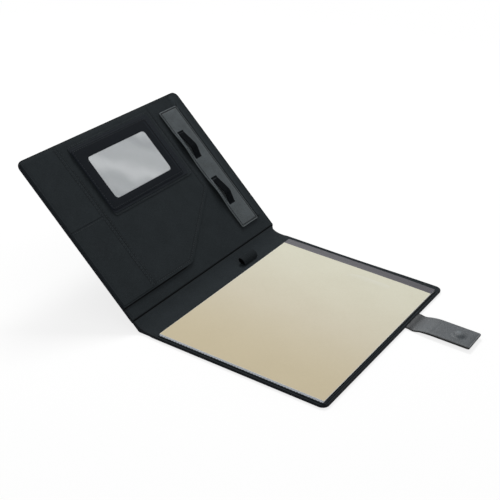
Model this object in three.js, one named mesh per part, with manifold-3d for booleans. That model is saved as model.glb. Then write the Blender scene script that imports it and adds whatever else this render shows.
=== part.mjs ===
// Open portfolio with a writing pad, in millimetres.
// Origin: middle of the back cover's underside. +X runs from the spine to the closure strap,
// +Y along the spine to the pad's bound end, +Z up. The front cover stands open.

import * as THREE from "three";
import { mergeVertices } from "three/addons/utils/BufferGeometryUtils.js";
import Module from "manifold-3d";

const wasm = await Module();
wasm.setup();

// Covers, sized round the writing pad
const padWidth = 210;
const padLength = 297;
const padNearMargin = 5;
const padFarMargin = 15;
const padFreeMargin = 5;
const padFoldMargin = 9;
const coverCorner = 9;
const skinThick = 0.7;
const boardThick = 1.5;
const liningThick = 0.8;
const layerGap = 0.3;
const rimWidth = 1.0;
const openAngle = THREE.MathUtils.degToRad(40.7);

// Spine and folds
const spineFlat = 3.5;
const spineBendRadius = 34.3;
const foldRoom = 1.5;
const foldSeamRadius = 1.15;

// Writing pad
const backingThick = 0.7;
const pagesThick = 1.7;
const padSheetThick = 0.2;
const slotPanelThick = 0.4;
const slotPanelOpen = 107;
const slotPanelBorder = 2;
const tapeWidth = 13;
const tapeThick = 0.2;

// Pen loop
const penLoopLength = 36;
const penLoopLong = 6.4;
const penLoopShort = 4.4;
const penLoopWall = 1.1;
const penLoopLean = THREE.MathUtils.degToRad(135);
const penLoopFromFar = 117;
const penLoopFoldGap = 0.6;

// Closure strap
const strapWidth = 39.4;
const strapFromFar = 94.5;
const strapThick = 1.5;
const strapAnchorLength = 24;
const strapRootReach = 1.3;
const strapRiserLength = 33;
const strapTipLength = 46;
const strapDip = 0.9;
const strapDipAt = 8;
const strapLift = 2.6;
const strapLiftAt = 24;
const strapCorner = 3;
const strapBackingThick = 0.5;
const strapFoldRoom = 0.3;
const magnetRadius = 7;
const magnetThick = 1.2;
const magnetBumpRadius = 8.6;
const magnetBumpHeight = 1.6;
const magnetFromTip = 20;
const magnetRoom = 0.3;
const coverMagnetRadius = 8;
const coverMagnetFromEdge = 21;

// Pockets on the front cover, measured from the fold (across) and the near edge (along)
const pocketThick = 0.8;
const pocketMouthGap = 0.6;
const pocketMouth = 18;
const pocketDiagonalAlong = 110;
const pocketDiagonalAcross = 70;
const pocketStripGap = 9;
const pocketMouthCorner = 14;
const pocketFarCorner = 7;
const pocketBorder = 1.5;

const slipThick = 0.6;
const slipWidth = 62;
const slipOuterLength = 102.5;
const slipSplitGap = 0.6;
const slipMouthStep = 2;
const slipCorner = 4;

const cardSlotThick = 0.5;
const cardSlotStep = 6.5;
const windowPanelSlipGap = 16;
const windowPanelPocketGap = 21;
const windowPanelEdgeGap = 15.5;
const windowPanelWidth = 88;
const windowPanelThick = 0.8;
const windowPanelCorner = 5;
const windowNearBorder = 19;
const windowFarBorder = 16.5;
const windowInnerBorder = 13;
const windowOuterBorder = 15.5;
const windowCorner = 5;
const windowCardThick = 0.2;
const windowFilmThick = 0.2;
const windowRoom = 0.3;

// Organiser strip and its elastic loops
const stripEndGap = 19;
const stripFarGap = 20.5;
const stripWidth = 38.5;
const stripThick = 2.4;
const stripCorner = 2.5;
const loopWidth = 10.5;
const loopThick = 1.0;
const loopSpan = 41;
const loopRise = 4.2;
const loopTuck = 1.4;
const loopShoulder = 6;
const loopCrown = 8;
const loopFromOuterEnd = 35;
const loopFromInnerEnd = 35.5;
const loopFromNear = 6;
const slitRoom = 0.3;

const curveSteps = 6;
const discSteps = 36;
const pathSteps = 20;
const mergeDistance = 1e-4;

// Values that follow from the sizes above
const coverWidth = padFoldMargin + padWidth + padFreeMargin;
const coverHeight = padNearMargin + padLength + padFarMargin;
const strapCentre = coverHeight - strapFromFar;
const penLoopNearEnd = coverHeight - penLoopFromFar;
const slotPanelLength = padLength - slotPanelOpen;
const stripInner = stripEndGap;
const stripOuter = coverWidth - stripEndGap;
const stripFar = coverHeight - stripFarGap;
const stripNear = stripFar - stripWidth;
const loopNear = stripNear + loopFromNear;
const loopAcross = [stripOuter - loopFromOuterEnd - loopSpan, stripInner + loopFromInnerEnd];
const pocketFarEdge = stripNear - pocketStripGap;
const pocketMouthLength = pocketFarEdge - pocketDiagonalAlong;
const windowPanelNear = slipWidth + windowPanelSlipGap;
const windowPanelFar = pocketFarEdge - windowPanelPocketGap;
const windowPanelOuter = coverWidth - windowPanelEdgeGap;
const windowPanelInner = windowPanelOuter - windowPanelWidth;
const windowNear = windowPanelNear + windowNearBorder;
const windowFar = windowPanelFar - windowFarBorder;
const windowInner = windowPanelInner + windowInnerBorder;
const windowOuter = windowPanelOuter - windowOuterBorder;
const slipSplit = coverWidth - slipOuterLength;
const coverThick = skinThick + layerGap + boardThick + layerGap + liningThick;
const halfWidth = coverWidth / 2;
const halfHeight = coverHeight / 2;
const midHeight = coverThick / 2;
const boardBottom = skinThick + layerGap;
const liningBottom = boardBottom + boardThick + layerGap;
const backFold = new THREE.Vector2(-halfWidth, midHeight);
const frontFold = new THREE.Vector2(
  backFold.x - spineFlat - spineBendRadius * Math.sin(openAngle),
  backFold.y + spineBendRadius * (1 - Math.cos(openAngle)),
);

// Turns a distance along the spine, counted from the covers' near edge, into Y.
const along = (distance) => distance - halfHeight;

// One material for each finish.
const finish = (color, roughness, metalness = 0) => () =>
  new THREE.MeshStandardMaterial({ color, roughness, metalness });

const finishes = {
  skin: finish(0x1d2023, 0.6),
  lining: finish(0x24282b, 0.9),
  board: finish(0x6d665c, 0.9),
  card: finish(0xb9b9b4, 0.8),
  paper: finish(0xe6e6e0, 0.8),
  cream: finish(0xcfc8b2, 0.75),
  tape: finish(0x66606a, 0.4),
  leather: finish(0x505355, 0.5),
  elastic: finish(0x0c0d0e, 0.85),
  smooth: finish(0x1a1f23, 0.45),
  silver: finish(0xb4b8bb, 0.6),
  film: finish(0xdfe5e8, 0.1),
  steel: finish(0x9a9c9e, 0.3, 1),
};

function piece(name, geometry, finishName) {
  const mesh = new THREE.Mesh(geometry, finishes[finishName]());
  mesh.name = name;
  return mesh;
}

// Outline through corner points, each [x, y, radius], with an arc at every rounded corner.
function outline(corners) {
  const shape = new THREE.Shape();
  const count = corners.length;
  corners.forEach(([x, y, radius = 0], index) => {
    const corner = new THREE.Vector2(x, y);
    if (radius === 0) {
      addPoint(shape, index, corner);
      return;
    }
    const before = new THREE.Vector2(...corners[(index + count - 1) % count]);
    const after = new THREE.Vector2(...corners[(index + 1) % count]);
    const toBefore = before.sub(corner).normalize();
    const toAfter = after.sub(corner).normalize();
    const half = Math.acos(toBefore.dot(toAfter)) / 2;
    const reach = radius / Math.tan(half);
    const middle = toBefore.clone().add(toAfter).normalize();
    const centre = corner.clone().addScaledVector(middle, radius / Math.sin(half));
    const start = corner.clone().addScaledVector(toBefore, reach);
    const end = corner.clone().addScaledVector(toAfter, reach);
    const clockwise = toBefore.cross(toAfter) > 0;
    addPoint(shape, index, start);
    shape.absarc(
      centre.x,
      centre.y,
      radius,
      Math.atan2(start.y - centre.y, start.x - centre.x),
      Math.atan2(end.y - centre.y, end.x - centre.x),
      clockwise,
    );
  });
  shape.closePath();
  return shape;
}

function addPoint(shape, index, point) {
  if (index === 0) shape.moveTo(point.x, point.y);
  else shape.lineTo(point.x, point.y);
}

// Rectangle between two values of x and two of y, all four corners rounded alike.
const rectangle = (x0, x1, y0, y1, radius = 0) =>
  outline([
    [x0, y0, radius],
    [x1, y0, radius],
    [x1, y1, radius],
    [x0, y1, radius],
  ]);

// Flat sheet of an outline, its underside at the given height.
function sheet(shape, bottom, thickness) {
  const geometry = new THREE.ExtrudeGeometry(shape, {
    depth: thickness,
    bevelEnabled: false,
    curveSegments: curveSteps,
  });
  return geometry.translate(0, 0, bottom);
}

// Outline drawn in X and Z, carried along Y from one value to the other.
function beam(shape, y0, y1, steps = curveSteps) {
  const geometry = new THREE.ExtrudeGeometry(shape, {
    depth: y1 - y0,
    bevelEnabled: false,
    curveSegments: steps,
  });
  return geometry.rotateX(Math.PI / 2).translate(0, y1, 0);
}

function toSolid(geometry) {
  const bare = geometry.clone();
  bare.deleteAttribute("normal");
  bare.deleteAttribute("uv");
  const merged = mergeVertices(bare, mergeDistance);
  const mesh = new wasm.Mesh({
    numProp: 3,
    vertProperties: new Float32Array(merged.attributes.position.array),
    triVerts: new Uint32Array(merged.index.array),
  });
  return new wasm.Manifold(mesh);
}

function toGeometry(solid) {
  const mesh = solid.getMesh();
  const geometry = new THREE.BufferGeometry();
  geometry.setAttribute("position", new THREE.BufferAttribute(mesh.vertProperties, 3));
  geometry.setIndex(new THREE.BufferAttribute(mesh.triVerts, 1));
  return geometry;
}

const cut = (geometry, ...tools) =>
  toGeometry(tools.reduce((solid, tool) => solid.subtract(toSolid(tool)), toSolid(geometry)));

const join = (geometry, ...others) =>
  toGeometry(others.reduce((solid, other) => solid.add(toSolid(other)), toSolid(geometry)));

// A cover's outline: square at its fold, rounded at its free edge. side is 1 where the free edge
// faces +X and -1 where it faces -X, and x is measured from the fold.
function coverOutline(side, inset, foldInset) {
  const free = side * (coverWidth - inset);
  const fold = side * foldInset;
  const edge = halfHeight - inset;
  const radius = coverCorner - inset;
  return outline([
    [fold, -edge],
    [free, -edge, radius],
    [free, edge, radius],
    [fold, edge],
  ]);
}

// Skin with a rim turned up on the three free sides, the board in it and the lining on top.
function coverSkin(side) {
  const shell = sheet(coverOutline(side, 0, foldRoom), 0, coverThick);
  const hollow = sheet(coverOutline(side, rimWidth, 0), skinThick, coverThick);
  return cut(shell, hollow);
}

const coverLayer = (side, bottom, thickness) =>
  sheet(coverOutline(side, rimWidth + layerGap, foldRoom), bottom, thickness);

// Back cover, with the strap's root let into the board and led out through the rim.
function backCover() {
  const group = new THREE.Group();
  const fromFold = (geometry) => geometry.translate(-halfWidth, 0, 0);
  const anchorOutline = (room) =>
    rectangle(
      halfWidth - strapAnchorLength - room,
      halfWidth + strapRootReach,
      along(strapCentre) - strapWidth / 2 - room,
      along(strapCentre) + strapWidth / 2 + room,
    );
  const notch = sheet(anchorOutline(layerGap), boardBottom - layerGap / 2, boardThick + layerGap);

  group.add(
    piece("back_cover_skin", cut(fromFold(coverSkin(1)), notch), "skin"),
    piece("back_cover_board", cut(fromFold(coverLayer(1, boardBottom, boardThick)), notch), "board"),
    piece("back_cover_lining", fromFold(coverLayer(1, liningBottom, liningThick)), "lining"),
    piece("strap_anchor", strapAnchor(), "leather"),
  );
  return group;
}

// The strap's folds lie at the middle of its thickness.
const strapRootX = halfWidth + strapRootReach;
const strapRootZ = boardBottom + boardThick / 2;

// The strap's root ends in a half round about its fold, so that the next stretch can turn on it.
function strapAnchor() {
  const half = strapThick / 2;
  const section = new THREE.Shape();
  section.moveTo(halfWidth - strapAnchorLength, strapRootZ - half);
  section.lineTo(strapRootX, strapRootZ - half);
  section.absarc(strapRootX, strapRootZ, half, -Math.PI / 2, Math.PI / 2, false);
  section.lineTo(halfWidth - strapAnchorLength, strapRootZ + half);
  section.closePath();
  return beam(section, along(strapCentre) - strapWidth / 2, along(strapCentre) + strapWidth / 2);
}

// Stretch that dips to the table and lifts again, seen from the side as one smooth curve.
function strapRiser() {
  const half = strapThick / 2;
  const start = half + strapFoldRoom;
  const path = new THREE.CatmullRomCurve3(
    [
      [start, 0],
      [strapDipAt, -strapDip],
      [(strapDipAt + strapLiftAt) / 2, (strapLift - strapDip) / 2],
      [strapLiftAt, strapLift - half / 2],
      [strapRiserLength, strapLift],
    ].map(([x, z]) => new THREE.Vector3(strapRootX + x, strapRootZ + z, 0)),
  );
  const above = [];
  const below = [];
  for (let step = 0; step <= pathSteps; step += 1) {
    const share = step / pathSteps;
    const point = path.getPoint(share);
    const direction = share === 1 ? new THREE.Vector3(1, 0, 0) : path.getTangent(share);
    const normal = new THREE.Vector2(-direction.y, direction.x).multiplyScalar(half);
    above.push(new THREE.Vector2(point.x + normal.x, point.y + normal.y));
    below.push(new THREE.Vector2(point.x - normal.x, point.y - normal.y));
  }
  const section = new THREE.Shape(below);
  const end = path.getPoint(1);
  section.absarc(end.x, end.y, half, -Math.PI / 2, Math.PI / 2, false);
  above.reverse().forEach((point) => section.lineTo(point.x, point.y));
  section.closePath();
  return beam(section, along(strapCentre) - strapWidth / 2, along(strapCentre) + strapWidth / 2);
}

// Tip: a top layer with the magnet's bump, an under layer, and the magnet between them.
function strapTip() {
  const group = new THREE.Group();
  const half = strapThick / 2;
  const foldX = strapRootX + strapRiserLength;
  const middleZ = strapRootZ + strapLift;
  const near = along(strapCentre) - strapWidth / 2;
  const far = near + strapWidth;
  const tipOutline = outline([
    [foldX + half + strapFoldRoom, near],
    [foldX + strapTipLength, near, strapCorner],
    [foldX + strapTipLength, far, strapCorner],
    [foldX + half + strapFoldRoom, far],
  ]);
  const magnetX = foldX + strapTipLength - magnetFromTip;
  const backingTop = middleZ - half + strapBackingThick;
  const place = (geometry, z) => geometry.rotateX(Math.PI / 2).translate(magnetX, along(strapCentre), z);

  const bumpSection = [
    new THREE.Vector2(0, 0),
    new THREE.Vector2(magnetBumpRadius, 0),
    new THREE.Vector2(magnetBumpRadius, half / 2),
    new THREE.Vector2(magnetBumpRadius - magnetBumpHeight, half / 2 + magnetBumpHeight),
    new THREE.Vector2(0, half / 2 + magnetBumpHeight),
  ];
  const bump = place(new THREE.LatheGeometry(bumpSection, discSteps), middleZ + half / 2);
  const discOf = (room) => {
    const radius = magnetRadius + room;
    const height = magnetThick + room;
    return place(new THREE.CylinderGeometry(radius, radius, height, discSteps), backingTop + height / 2);
  };
  const top = join(sheet(tipOutline, backingTop, strapThick - strapBackingThick), bump);
  group.add(
    piece("strap_band_tip", cut(top, discOf(magnetRoom)), "leather"),
    piece("strap_backing", sheet(tipOutline, middleZ - half, strapBackingThick), "leather"),
    piece("strap_magnet", discOf(0), "steel"),
  );
  return group;
}

// Writing pad: its card is tucked under a panel of the lining, its pages lie on that panel.
function writingPad() {
  const group = new THREE.Group();
  const right = halfWidth - padFreeMargin;
  const left = right - padWidth;
  const near = along(padNearMargin);
  const far = near + padLength;
  const cardTop = coverThick + backingThick;
  const pagesBottom = cardTop + slotPanelThick;
  const pagesTop = pagesBottom + pagesThick;
  const padTop = pagesTop + padSheetThick;
  const tapeSection = outline([
    [far - tapeWidth, padTop],
    [far, padTop],
    [far, coverThick],
    [far + tapeThick, coverThick],
    [far + tapeThick, padTop + tapeThick],
    [far - tapeWidth, padTop + tapeThick],
  ]);
  const tape = new THREE.ExtrudeGeometry(tapeSection, { depth: padWidth, bevelEnabled: false });
  tape.rotateX(Math.PI / 2).rotateZ(Math.PI / 2).translate(left, 0, 0);
  const panelOutline = rectangle(
    left - slotPanelBorder,
    right + slotPanelBorder,
    near - slotPanelBorder,
    near + slotPanelLength,
  );
  group.add(
    piece("pad_backing_card", sheet(rectangle(left, right, near, far), coverThick, backingThick), "card"),
    piece("pad_slot_panel", sheet(panelOutline, cardTop, slotPanelThick), "lining"),
    piece("pad_pages", sheet(rectangle(left, right, near, far), pagesBottom, pagesThick), "paper"),
    piece("pad_cover_sheet", sheet(rectangle(left, right, near, far), pagesTop, padSheetThick), "cream"),
    piece("pad_binding_tape", tape, "tape"),
  );
  return group;
}

// A layer of the spine: flat beside the back cover, then an arc that ends at the front fold.
function spineLayer(bottom, thickness, inset) {
  const centre = new THREE.Vector2(backFold.x - spineFlat, midHeight + spineBendRadius);
  const start = backFold.x - foldRoom;
  const outer = spineBendRadius + midHeight - bottom;
  const inner = outer - thickness;
  const down = -Math.PI / 2;
  const end = down - openAngle + foldRoom / spineBendRadius;
  const section = new THREE.Shape();
  section.moveTo(start, bottom);
  section.lineTo(centre.x, bottom);
  section.absarc(centre.x, centre.y, outer, down, end, true);
  section.lineTo(centre.x + inner * Math.cos(end), centre.y + inner * Math.sin(end));
  section.absarc(centre.x, centre.y, inner, end, down, false);
  section.lineTo(start, bottom + thickness);
  section.closePath();
  return beam(section, inset - halfHeight, halfHeight - inset, 2 * curveSteps);
}

function foldSeam(fold) {
  const section = new THREE.Shape();
  section.absarc(fold.x, fold.y, foldSeamRadius, 0, 2 * Math.PI, false);
  return beam(section, rimWidth - halfHeight, halfHeight - rimWidth);
}

// Elastic tube for a pen, leaning back over the spine from its seam.
function penLoop() {
  const reach = Math.hypot(penLoopLong, penLoopShort) * Math.SQRT1_2;
  const x = backFold.x - foldRoom - penLoopFoldGap - reach;
  const z = coverThick + layerGap + reach;
  const section = new THREE.Shape();
  section.absellipse(x, z, penLoopLong, penLoopShort, 0, 2 * Math.PI, false, penLoopLean);
  const hole = new THREE.Path();
  const long = penLoopLong - penLoopWall;
  const short = penLoopShort - penLoopWall;
  hole.absellipse(x, z, long, short, 0, 2 * Math.PI, true, penLoopLean);
  section.holes.push(hole);
  return beam(section, along(penLoopNearEnd), along(penLoopNearEnd) + penLoopLength, 2 * curveSteps);
}

function spine() {
  const group = new THREE.Group();
  group.add(
    piece("spine_skin", spineLayer(0, skinThick, 0), "skin"),
    piece("spine_core", spineLayer(boardBottom, boardThick, rimWidth + layerGap), "board"),
    piece("spine_lining", spineLayer(liningBottom, liningThick, rimWidth), "lining"),
    piece("front_crease", foldSeam(frontFold), "lining"),
    piece("back_crease", foldSeam(backFold), "lining"),
    piece("pen_loop", penLoop(), "elastic"),
  );
  return group;
}

// Large pocket: a straight mouth beside the fold, a diagonal, and a far edge across the cover.
function documentPocket(bottom) {
  const far = along(pocketFarEdge);
  const outer = coverWidth - rimWidth - pocketBorder;
  const near = rimWidth + pocketBorder - halfHeight;
  const shape = outline([
    [-pocketMouth, near],
    [-pocketMouth, along(pocketMouthLength), pocketMouthCorner],
    [-pocketMouth - pocketDiagonalAcross, far, pocketFarCorner],
    [-outer, far],
    [-outer, near, coverCorner - rimWidth],
  ]);
  return sheet(shape, bottom, pocketThick);
}

// One of the two small pockets that lie on the large one, down the near edge.
function slipPocket(bottom, from, to, corner) {
  const near = rimWidth + pocketBorder + slipMouthStep - halfHeight;
  const far = along(slipWidth);
  return sheet(rectangle(-to, -from, near, far, corner), bottom, slipThick);
}

function windowPanelOutline(step) {
  return rectangle(
    -windowPanelOuter - step / 2,
    -windowPanelInner + step / 2,
    along(windowPanelNear),
    along(windowPanelFar + step),
    windowPanelCorner,
  );
}

const windowOutline = (inset) =>
  rectangle(
    inset - windowOuter,
    -windowInner - inset,
    along(windowNear + inset),
    along(windowFar - inset),
    windowCorner - inset,
  );

// Elastic band that leaves one slit, arches over the strip and goes into the next.
function elasticLoop(across, stripBottom) {
  const stripTop = stripBottom + stripThick;
  const start = -across - loopSpan;
  const end = -across;
  const innerStart = start + loopThick;
  const innerEnd = end - loopThick;
  const middle = (start + end) / 2;
  const tuck = stripTop - loopTuck;
  const top = stripTop + loopRise + loopThick;
  const under = stripTop + loopRise;
  const section = new THREE.Shape();
  section.moveTo(start, tuck);
  section.lineTo(start, stripTop);
  section.bezierCurveTo(start + loopShoulder, top, middle - loopCrown, top, middle, top);
  section.bezierCurveTo(middle + loopCrown, top, end - loopShoulder, top, end, stripTop);
  section.lineTo(end, tuck);
  section.lineTo(innerEnd, tuck);
  section.lineTo(innerEnd, stripTop);
  section.bezierCurveTo(innerEnd - loopShoulder, under, middle + loopCrown, under, middle, under);
  section.bezierCurveTo(middle - loopCrown, under, innerStart + loopShoulder, under, innerStart, stripTop);
  section.lineTo(innerStart, tuck);
  section.closePath();
  return beam(section, along(loopNear), along(loopNear) + loopWidth, 2 * curveSteps);
}

// Slits at a loop's two ends, through the strip.
function loopSlits(across, stripBottom) {
  const near = along(loopNear) - slitRoom;
  const far = along(loopNear) + loopWidth + slitRoom;
  const slitAt = (x0) =>
    sheet(
      rectangle(x0 - slitRoom, x0 + 2 * loopThick + slitRoom, near, far),
      stripBottom + layerGap,
      stripThick,
    );
  return [slitAt(-across - loopSpan), slitAt(-across - 2 * loopThick)];
}

// Front cover in its own frame: the fold at x = 0, the free edge towards -X, as if lying flat.
function frontCover() {
  const group = new THREE.Group();
  const magnetPlace = [
    coverMagnetFromEdge - coverWidth,
    along(strapCentre),
    boardBottom + boardThick / 2,
  ];
  const magnetDisc = (radius, height) =>
    new THREE.CylinderGeometry(radius, radius, height, discSteps)
      .rotateX(Math.PI / 2)
      .translate(...magnetPlace);
  const board = coverLayer(-1, boardBottom, boardThick);
  const magnetHole = magnetDisc(coverMagnetRadius + layerGap, boardThick + 2 * layerGap);

  const pocketBottom = coverThick + pocketMouthGap;
  const onPocket = pocketBottom + pocketThick + layerGap;
  const onSlot = onPocket + cardSlotThick + layerGap;
  const panelBottom = onSlot + cardSlotThick + layerGap;
  const stripBottom = coverThick + layerGap;
  const filmBottom = panelBottom + windowPanelThick - windowFilmThick;
  const slipOuterEnd = coverWidth - rimWidth - pocketBorder - slipMouthStep;
  const stripSheet = sheet(
    rectangle(-stripOuter, -stripInner, along(stripNear), along(stripFar), stripCorner),
    stripBottom,
    stripThick,
  );
  const slits = loopAcross.flatMap((across) => loopSlits(across, stripBottom));
  const panel = windowPanelOutline(0);
  panel.holes.push(windowOutline(0));

  group.add(
    piece("front_cover_skin", coverSkin(-1), "skin"),
    piece("front_cover_board", cut(board, magnetHole), "board"),
    piece("cover_magnet", magnetDisc(coverMagnetRadius, boardThick), "steel"),
    piece("front_cover_lining", coverLayer(-1, liningBottom, liningThick), "lining"),
    piece("document_pocket", documentPocket(pocketBottom), "lining"),
    piece(
      "slip_pocket_outer",
      slipPocket(onPocket, slipSplit + slipSplitGap, slipOuterEnd, slipCorner),
      "lining",
    ),
    piece(
      "slip_pocket_inner",
      slipPocket(onPocket, pocketMouth + slipMouthStep, slipSplit, slipCorner),
      "lining",
    ),
    piece("card_slot_back", sheet(windowPanelOutline(2 * cardSlotStep), onPocket, cardSlotThick), "lining"),
    piece("card_slot_front", sheet(windowPanelOutline(cardSlotStep), onSlot, cardSlotThick), "smooth"),
    piece("window_frame", sheet(panel, panelBottom, windowPanelThick), "smooth"),
    piece("window_card", sheet(windowOutline(windowRoom), panelBottom, windowCardThick), "silver"),
    piece("window_film", sheet(windowOutline(windowRoom), filmBottom, windowFilmThick), "film"),
    piece("organizer_strip", cut(stripSheet, ...slits), "leather"),
    piece("elastic_loop_outer", elasticLoop(loopAcross[0], stripBottom), "elastic"),
    piece("elastic_loop_inner", elasticLoop(loopAcross[1], stripBottom), "elastic"),
  );
  group.children.forEach((mesh) => mesh.geometry.translate(0, 0, -midHeight));
  group.position.set(frontFold.x, 0, frontFold.y);
  group.rotation.y = openAngle;
  return group;
}

const portfolio = new THREE.Group();
portfolio.add(
  backCover(),
  writingPad(),
  piece("strap_band_riser", strapRiser(), "leather"),
  strapTip(),
  spine(),
  frontCover(),
);

export default portfolio;
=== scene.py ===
import math

import bpy
import numpy as np
from mathutils import Matrix, Vector


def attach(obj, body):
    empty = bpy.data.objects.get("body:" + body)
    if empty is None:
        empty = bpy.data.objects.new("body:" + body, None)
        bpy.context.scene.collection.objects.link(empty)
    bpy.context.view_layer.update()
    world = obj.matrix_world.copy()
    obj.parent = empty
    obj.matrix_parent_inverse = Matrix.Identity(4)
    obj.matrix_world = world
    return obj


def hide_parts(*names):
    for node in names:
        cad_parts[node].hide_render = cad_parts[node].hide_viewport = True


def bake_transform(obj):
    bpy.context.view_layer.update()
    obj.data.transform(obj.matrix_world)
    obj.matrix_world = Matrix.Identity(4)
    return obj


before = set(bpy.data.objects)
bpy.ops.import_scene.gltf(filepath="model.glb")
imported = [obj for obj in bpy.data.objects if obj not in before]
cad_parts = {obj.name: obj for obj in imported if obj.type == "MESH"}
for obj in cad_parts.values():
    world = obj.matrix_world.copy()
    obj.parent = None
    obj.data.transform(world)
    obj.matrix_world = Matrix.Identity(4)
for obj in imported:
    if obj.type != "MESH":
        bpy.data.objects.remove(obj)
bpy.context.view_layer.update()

print("frame loaded:", len(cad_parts), "nodes")

# camera, from the fit to the pad
cameraView = dict(
    place=(0.492745, -1.046417, 0.692733),
    right=(0.85222, 0.51690, 0.08078),
    down=(0.30547, -0.36626, -0.87895),
    forward=(-0.42474, 0.77374, -0.47003),
    lens=81.128, sensor=36, nearest=0.05, farthest=50,
)


def makeCamera(view):
    data = bpy.data.cameras.new("camera")
    data.lens, data.sensor_width = view["lens"], view["sensor"]
    data.clip_start, data.clip_end = view["nearest"], view["farthest"]
    camera = bpy.data.objects.new("camera", data)
    rows = [view["right"], [-x for x in view["down"]], [-x for x in view["forward"]]]
    camera.matrix_world = Matrix.Translation(view["place"]) @ Matrix(rows).transposed().to_4x4()
    bpy.context.scene.collection.objects.link(camera)
    bpy.context.scene.camera = camera


makeCamera(cameraView)

# places, all in millimetres
# across = distance along the width, counted from the back fold towards the front cover's free edge
# along = distance along the spine, 0 in the middle; height = above the skin's underside
# s, v = distances from the front fold and from the near edge
sizes = dict(
    coverWidth=224.0, coverHeight=317.0, coverThick=3.6, corner=9.0, backFoldX=-112.0,
    spineFlat=3.5, bendRadius=34.3, midHeight=1.8, slope=math.radians(40.7),
)
farRim = dict(back=2.9, spine=6.2, start=148.6)
halfHeight = sizes["coverHeight"] / 2
spineLength = sizes["spineFlat"] + sizes["bendRadius"] * sizes["slope"]
bendX = sizes["backFoldX"] - sizes["spineFlat"]
bendZ = sizes["midHeight"] + sizes["bendRadius"]


def smooth(x, low, high):
    # 0 below low, 1 above high, and a smoothstep between
    u = np.clip((x - low) / (high - low), 0, 1)
    return u * u * (3 - 2 * u)


def fall(x, low, high):
    # 1 below low, 0 above high
    return 1 - smooth(x, low, high)


def bell(x, middle, width):
    return np.exp(-(((x - middle) / width) ** 2))


def farPull(across):
    # how far the far edge lies in from a straight one: most in the soft spine, nothing beyond the
    # front fold, and fading out along the back cover
    spine = farRim["back"] + (farRim["spine"] - farRim["back"]) * smooth(across, 0, spineLength - 6)
    back = fall(sizes["backFoldX"] - across, -40, 100)
    return spine * np.where(across < 0, back, fall(across - spineLength, -6, 1.5))


def coverPlace(across, along, height):
    # flat up to the spine's bend, then round the bend's centre, then straight on up the slope
    slope = sizes["slope"]
    near = (along - farRim["start"]) / (halfHeight - farRim["start"])
    along = along - farPull(across) * np.clip(near, 0, 1.1)
    turned = np.clip((across - sizes["spineFlat"]) / sizes["bendRadius"], 0, slope)
    radius = bendZ - height
    beyond = np.maximum(across - spineLength, 0)
    before = np.maximum(sizes["spineFlat"] - across, 0)
    x = bendX + before - radius * np.sin(turned) - beyond * math.cos(slope)
    z = bendZ - radius * np.cos(turned) + beyond * math.sin(slope)
    return np.stack([x, along + 0 * x, z], -1)


def onFront(s, v):
    return spineLength + s, v - halfHeight


def offFront(points):
    # the two distances on the front cover of each point
    return points[:, 0] - spineLength, points[:, 1] + halfHeight


def onBack(x):
    return sizes["backFoldX"] - x


# surfaces
def quarterTurn(steps):
    return np.linspace(0, math.pi / 2, steps + 1)


def runLength(line):
    # the distance gone along the line at each of its points
    steps = np.linalg.norm(np.diff(line, axis=0), axis=1)
    return np.concatenate([[0], np.cumsum(steps)])


def sampled(line, gone, where):
    # the line's points where the distance gone has the wanted values
    return np.stack([np.interp(where, gone, line[:, k]) for k in range(2)], -1)


def roundedPath(corners, step, closed=True):
    # straight runs joined by an arc of each corner's radius: its points, and the unit vectors
    # that point into the shape
    corner = np.array([c[:2] for c in corners], float)
    following = np.roll(corner, -1, 0)
    area = np.sum(corner[:, 0] * following[:, 1] - following[:, 0] * corner[:, 1])
    inside = 1.0 if area > 0 else -1.0
    count, arcs = len(corners), []
    for i, (x, y, radius) in enumerate(corners):
        here = np.array([x, y], float)
        if not closed and i in (0, count - 1):
            arcs.append((here[None], None))
            continue
        back, ahead = corner[i - 1] - here, corner[(i + 1) % count] - here
        back, ahead = back / np.linalg.norm(back), ahead / np.linalg.norm(ahead)
        half = math.acos(np.clip(back @ ahead, -1, 1)) / 2
        middle = (back + ahead) / np.linalg.norm(back + ahead)
        centre = here + middle * radius / math.sin(half)
        start, stop = (here + way * radius / math.tan(half) - centre for way in (back, ahead))
        first = math.atan2(start[1], start[0])
        sweep = (math.atan2(stop[1], stop[0]) - first + math.pi) % (2 * math.pi) - math.pi
        pieces = max(4, math.ceil(radius * abs(sweep) / 1.2))
        angle = first + sweep * np.linspace(0, 1, pieces + 1)
        spoke = np.stack([np.cos(angle), np.sin(angle)], -1)
        arcs.append((centre + spoke * radius, -spoke))
    path, inward = [], []
    for i, (points, normals) in enumerate(arcs):
        last = not closed and i == count - 1
        run = points[0] - arcs[i - 1][0][-1] if last else arcs[(i + 1) % count][0][0] - points[-1]
        length = np.linalg.norm(run)
        side = inside * np.array([-run[1], run[0]]) / max(length, 1e-9)
        path.append(points)
        inward.append(side[None] if normals is None else normals)
        if not last:
            share = np.linspace(0, 1, max(1, math.ceil(length / step)) + 1)[1:-1, None]
            path.append(points[-1] + run * share)
            inward.append(np.repeat(side[None], len(share), 0))
    return np.concatenate(path), np.concatenate(inward)


def outline(x0, x1, y0, y1, radius, step):
    # a rounded rectangle: its path, the vectors into it, its middle and its corners
    corners = [(x, y, radius) for x, y in ((x0, y0), (x1, y0), (x1, y1), (x0, y1))]
    return *roundedPath(corners, step), ((x0 + x1) / 2, (y0 + y1) / 2), corners


def outlineBack(x0, x1, y0, y1, radius, step=6):
    return outline(onBack(x0), onBack(x1), y0, y1, radius, step)


def outlineFront(s0, s1, v0, v1, radius, step=5):
    (x0, y0), (x1, y1) = onFront(s0, v0), onFront(s1, v1)
    return outline(x0, x1, y0, y1, radius, step)


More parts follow.
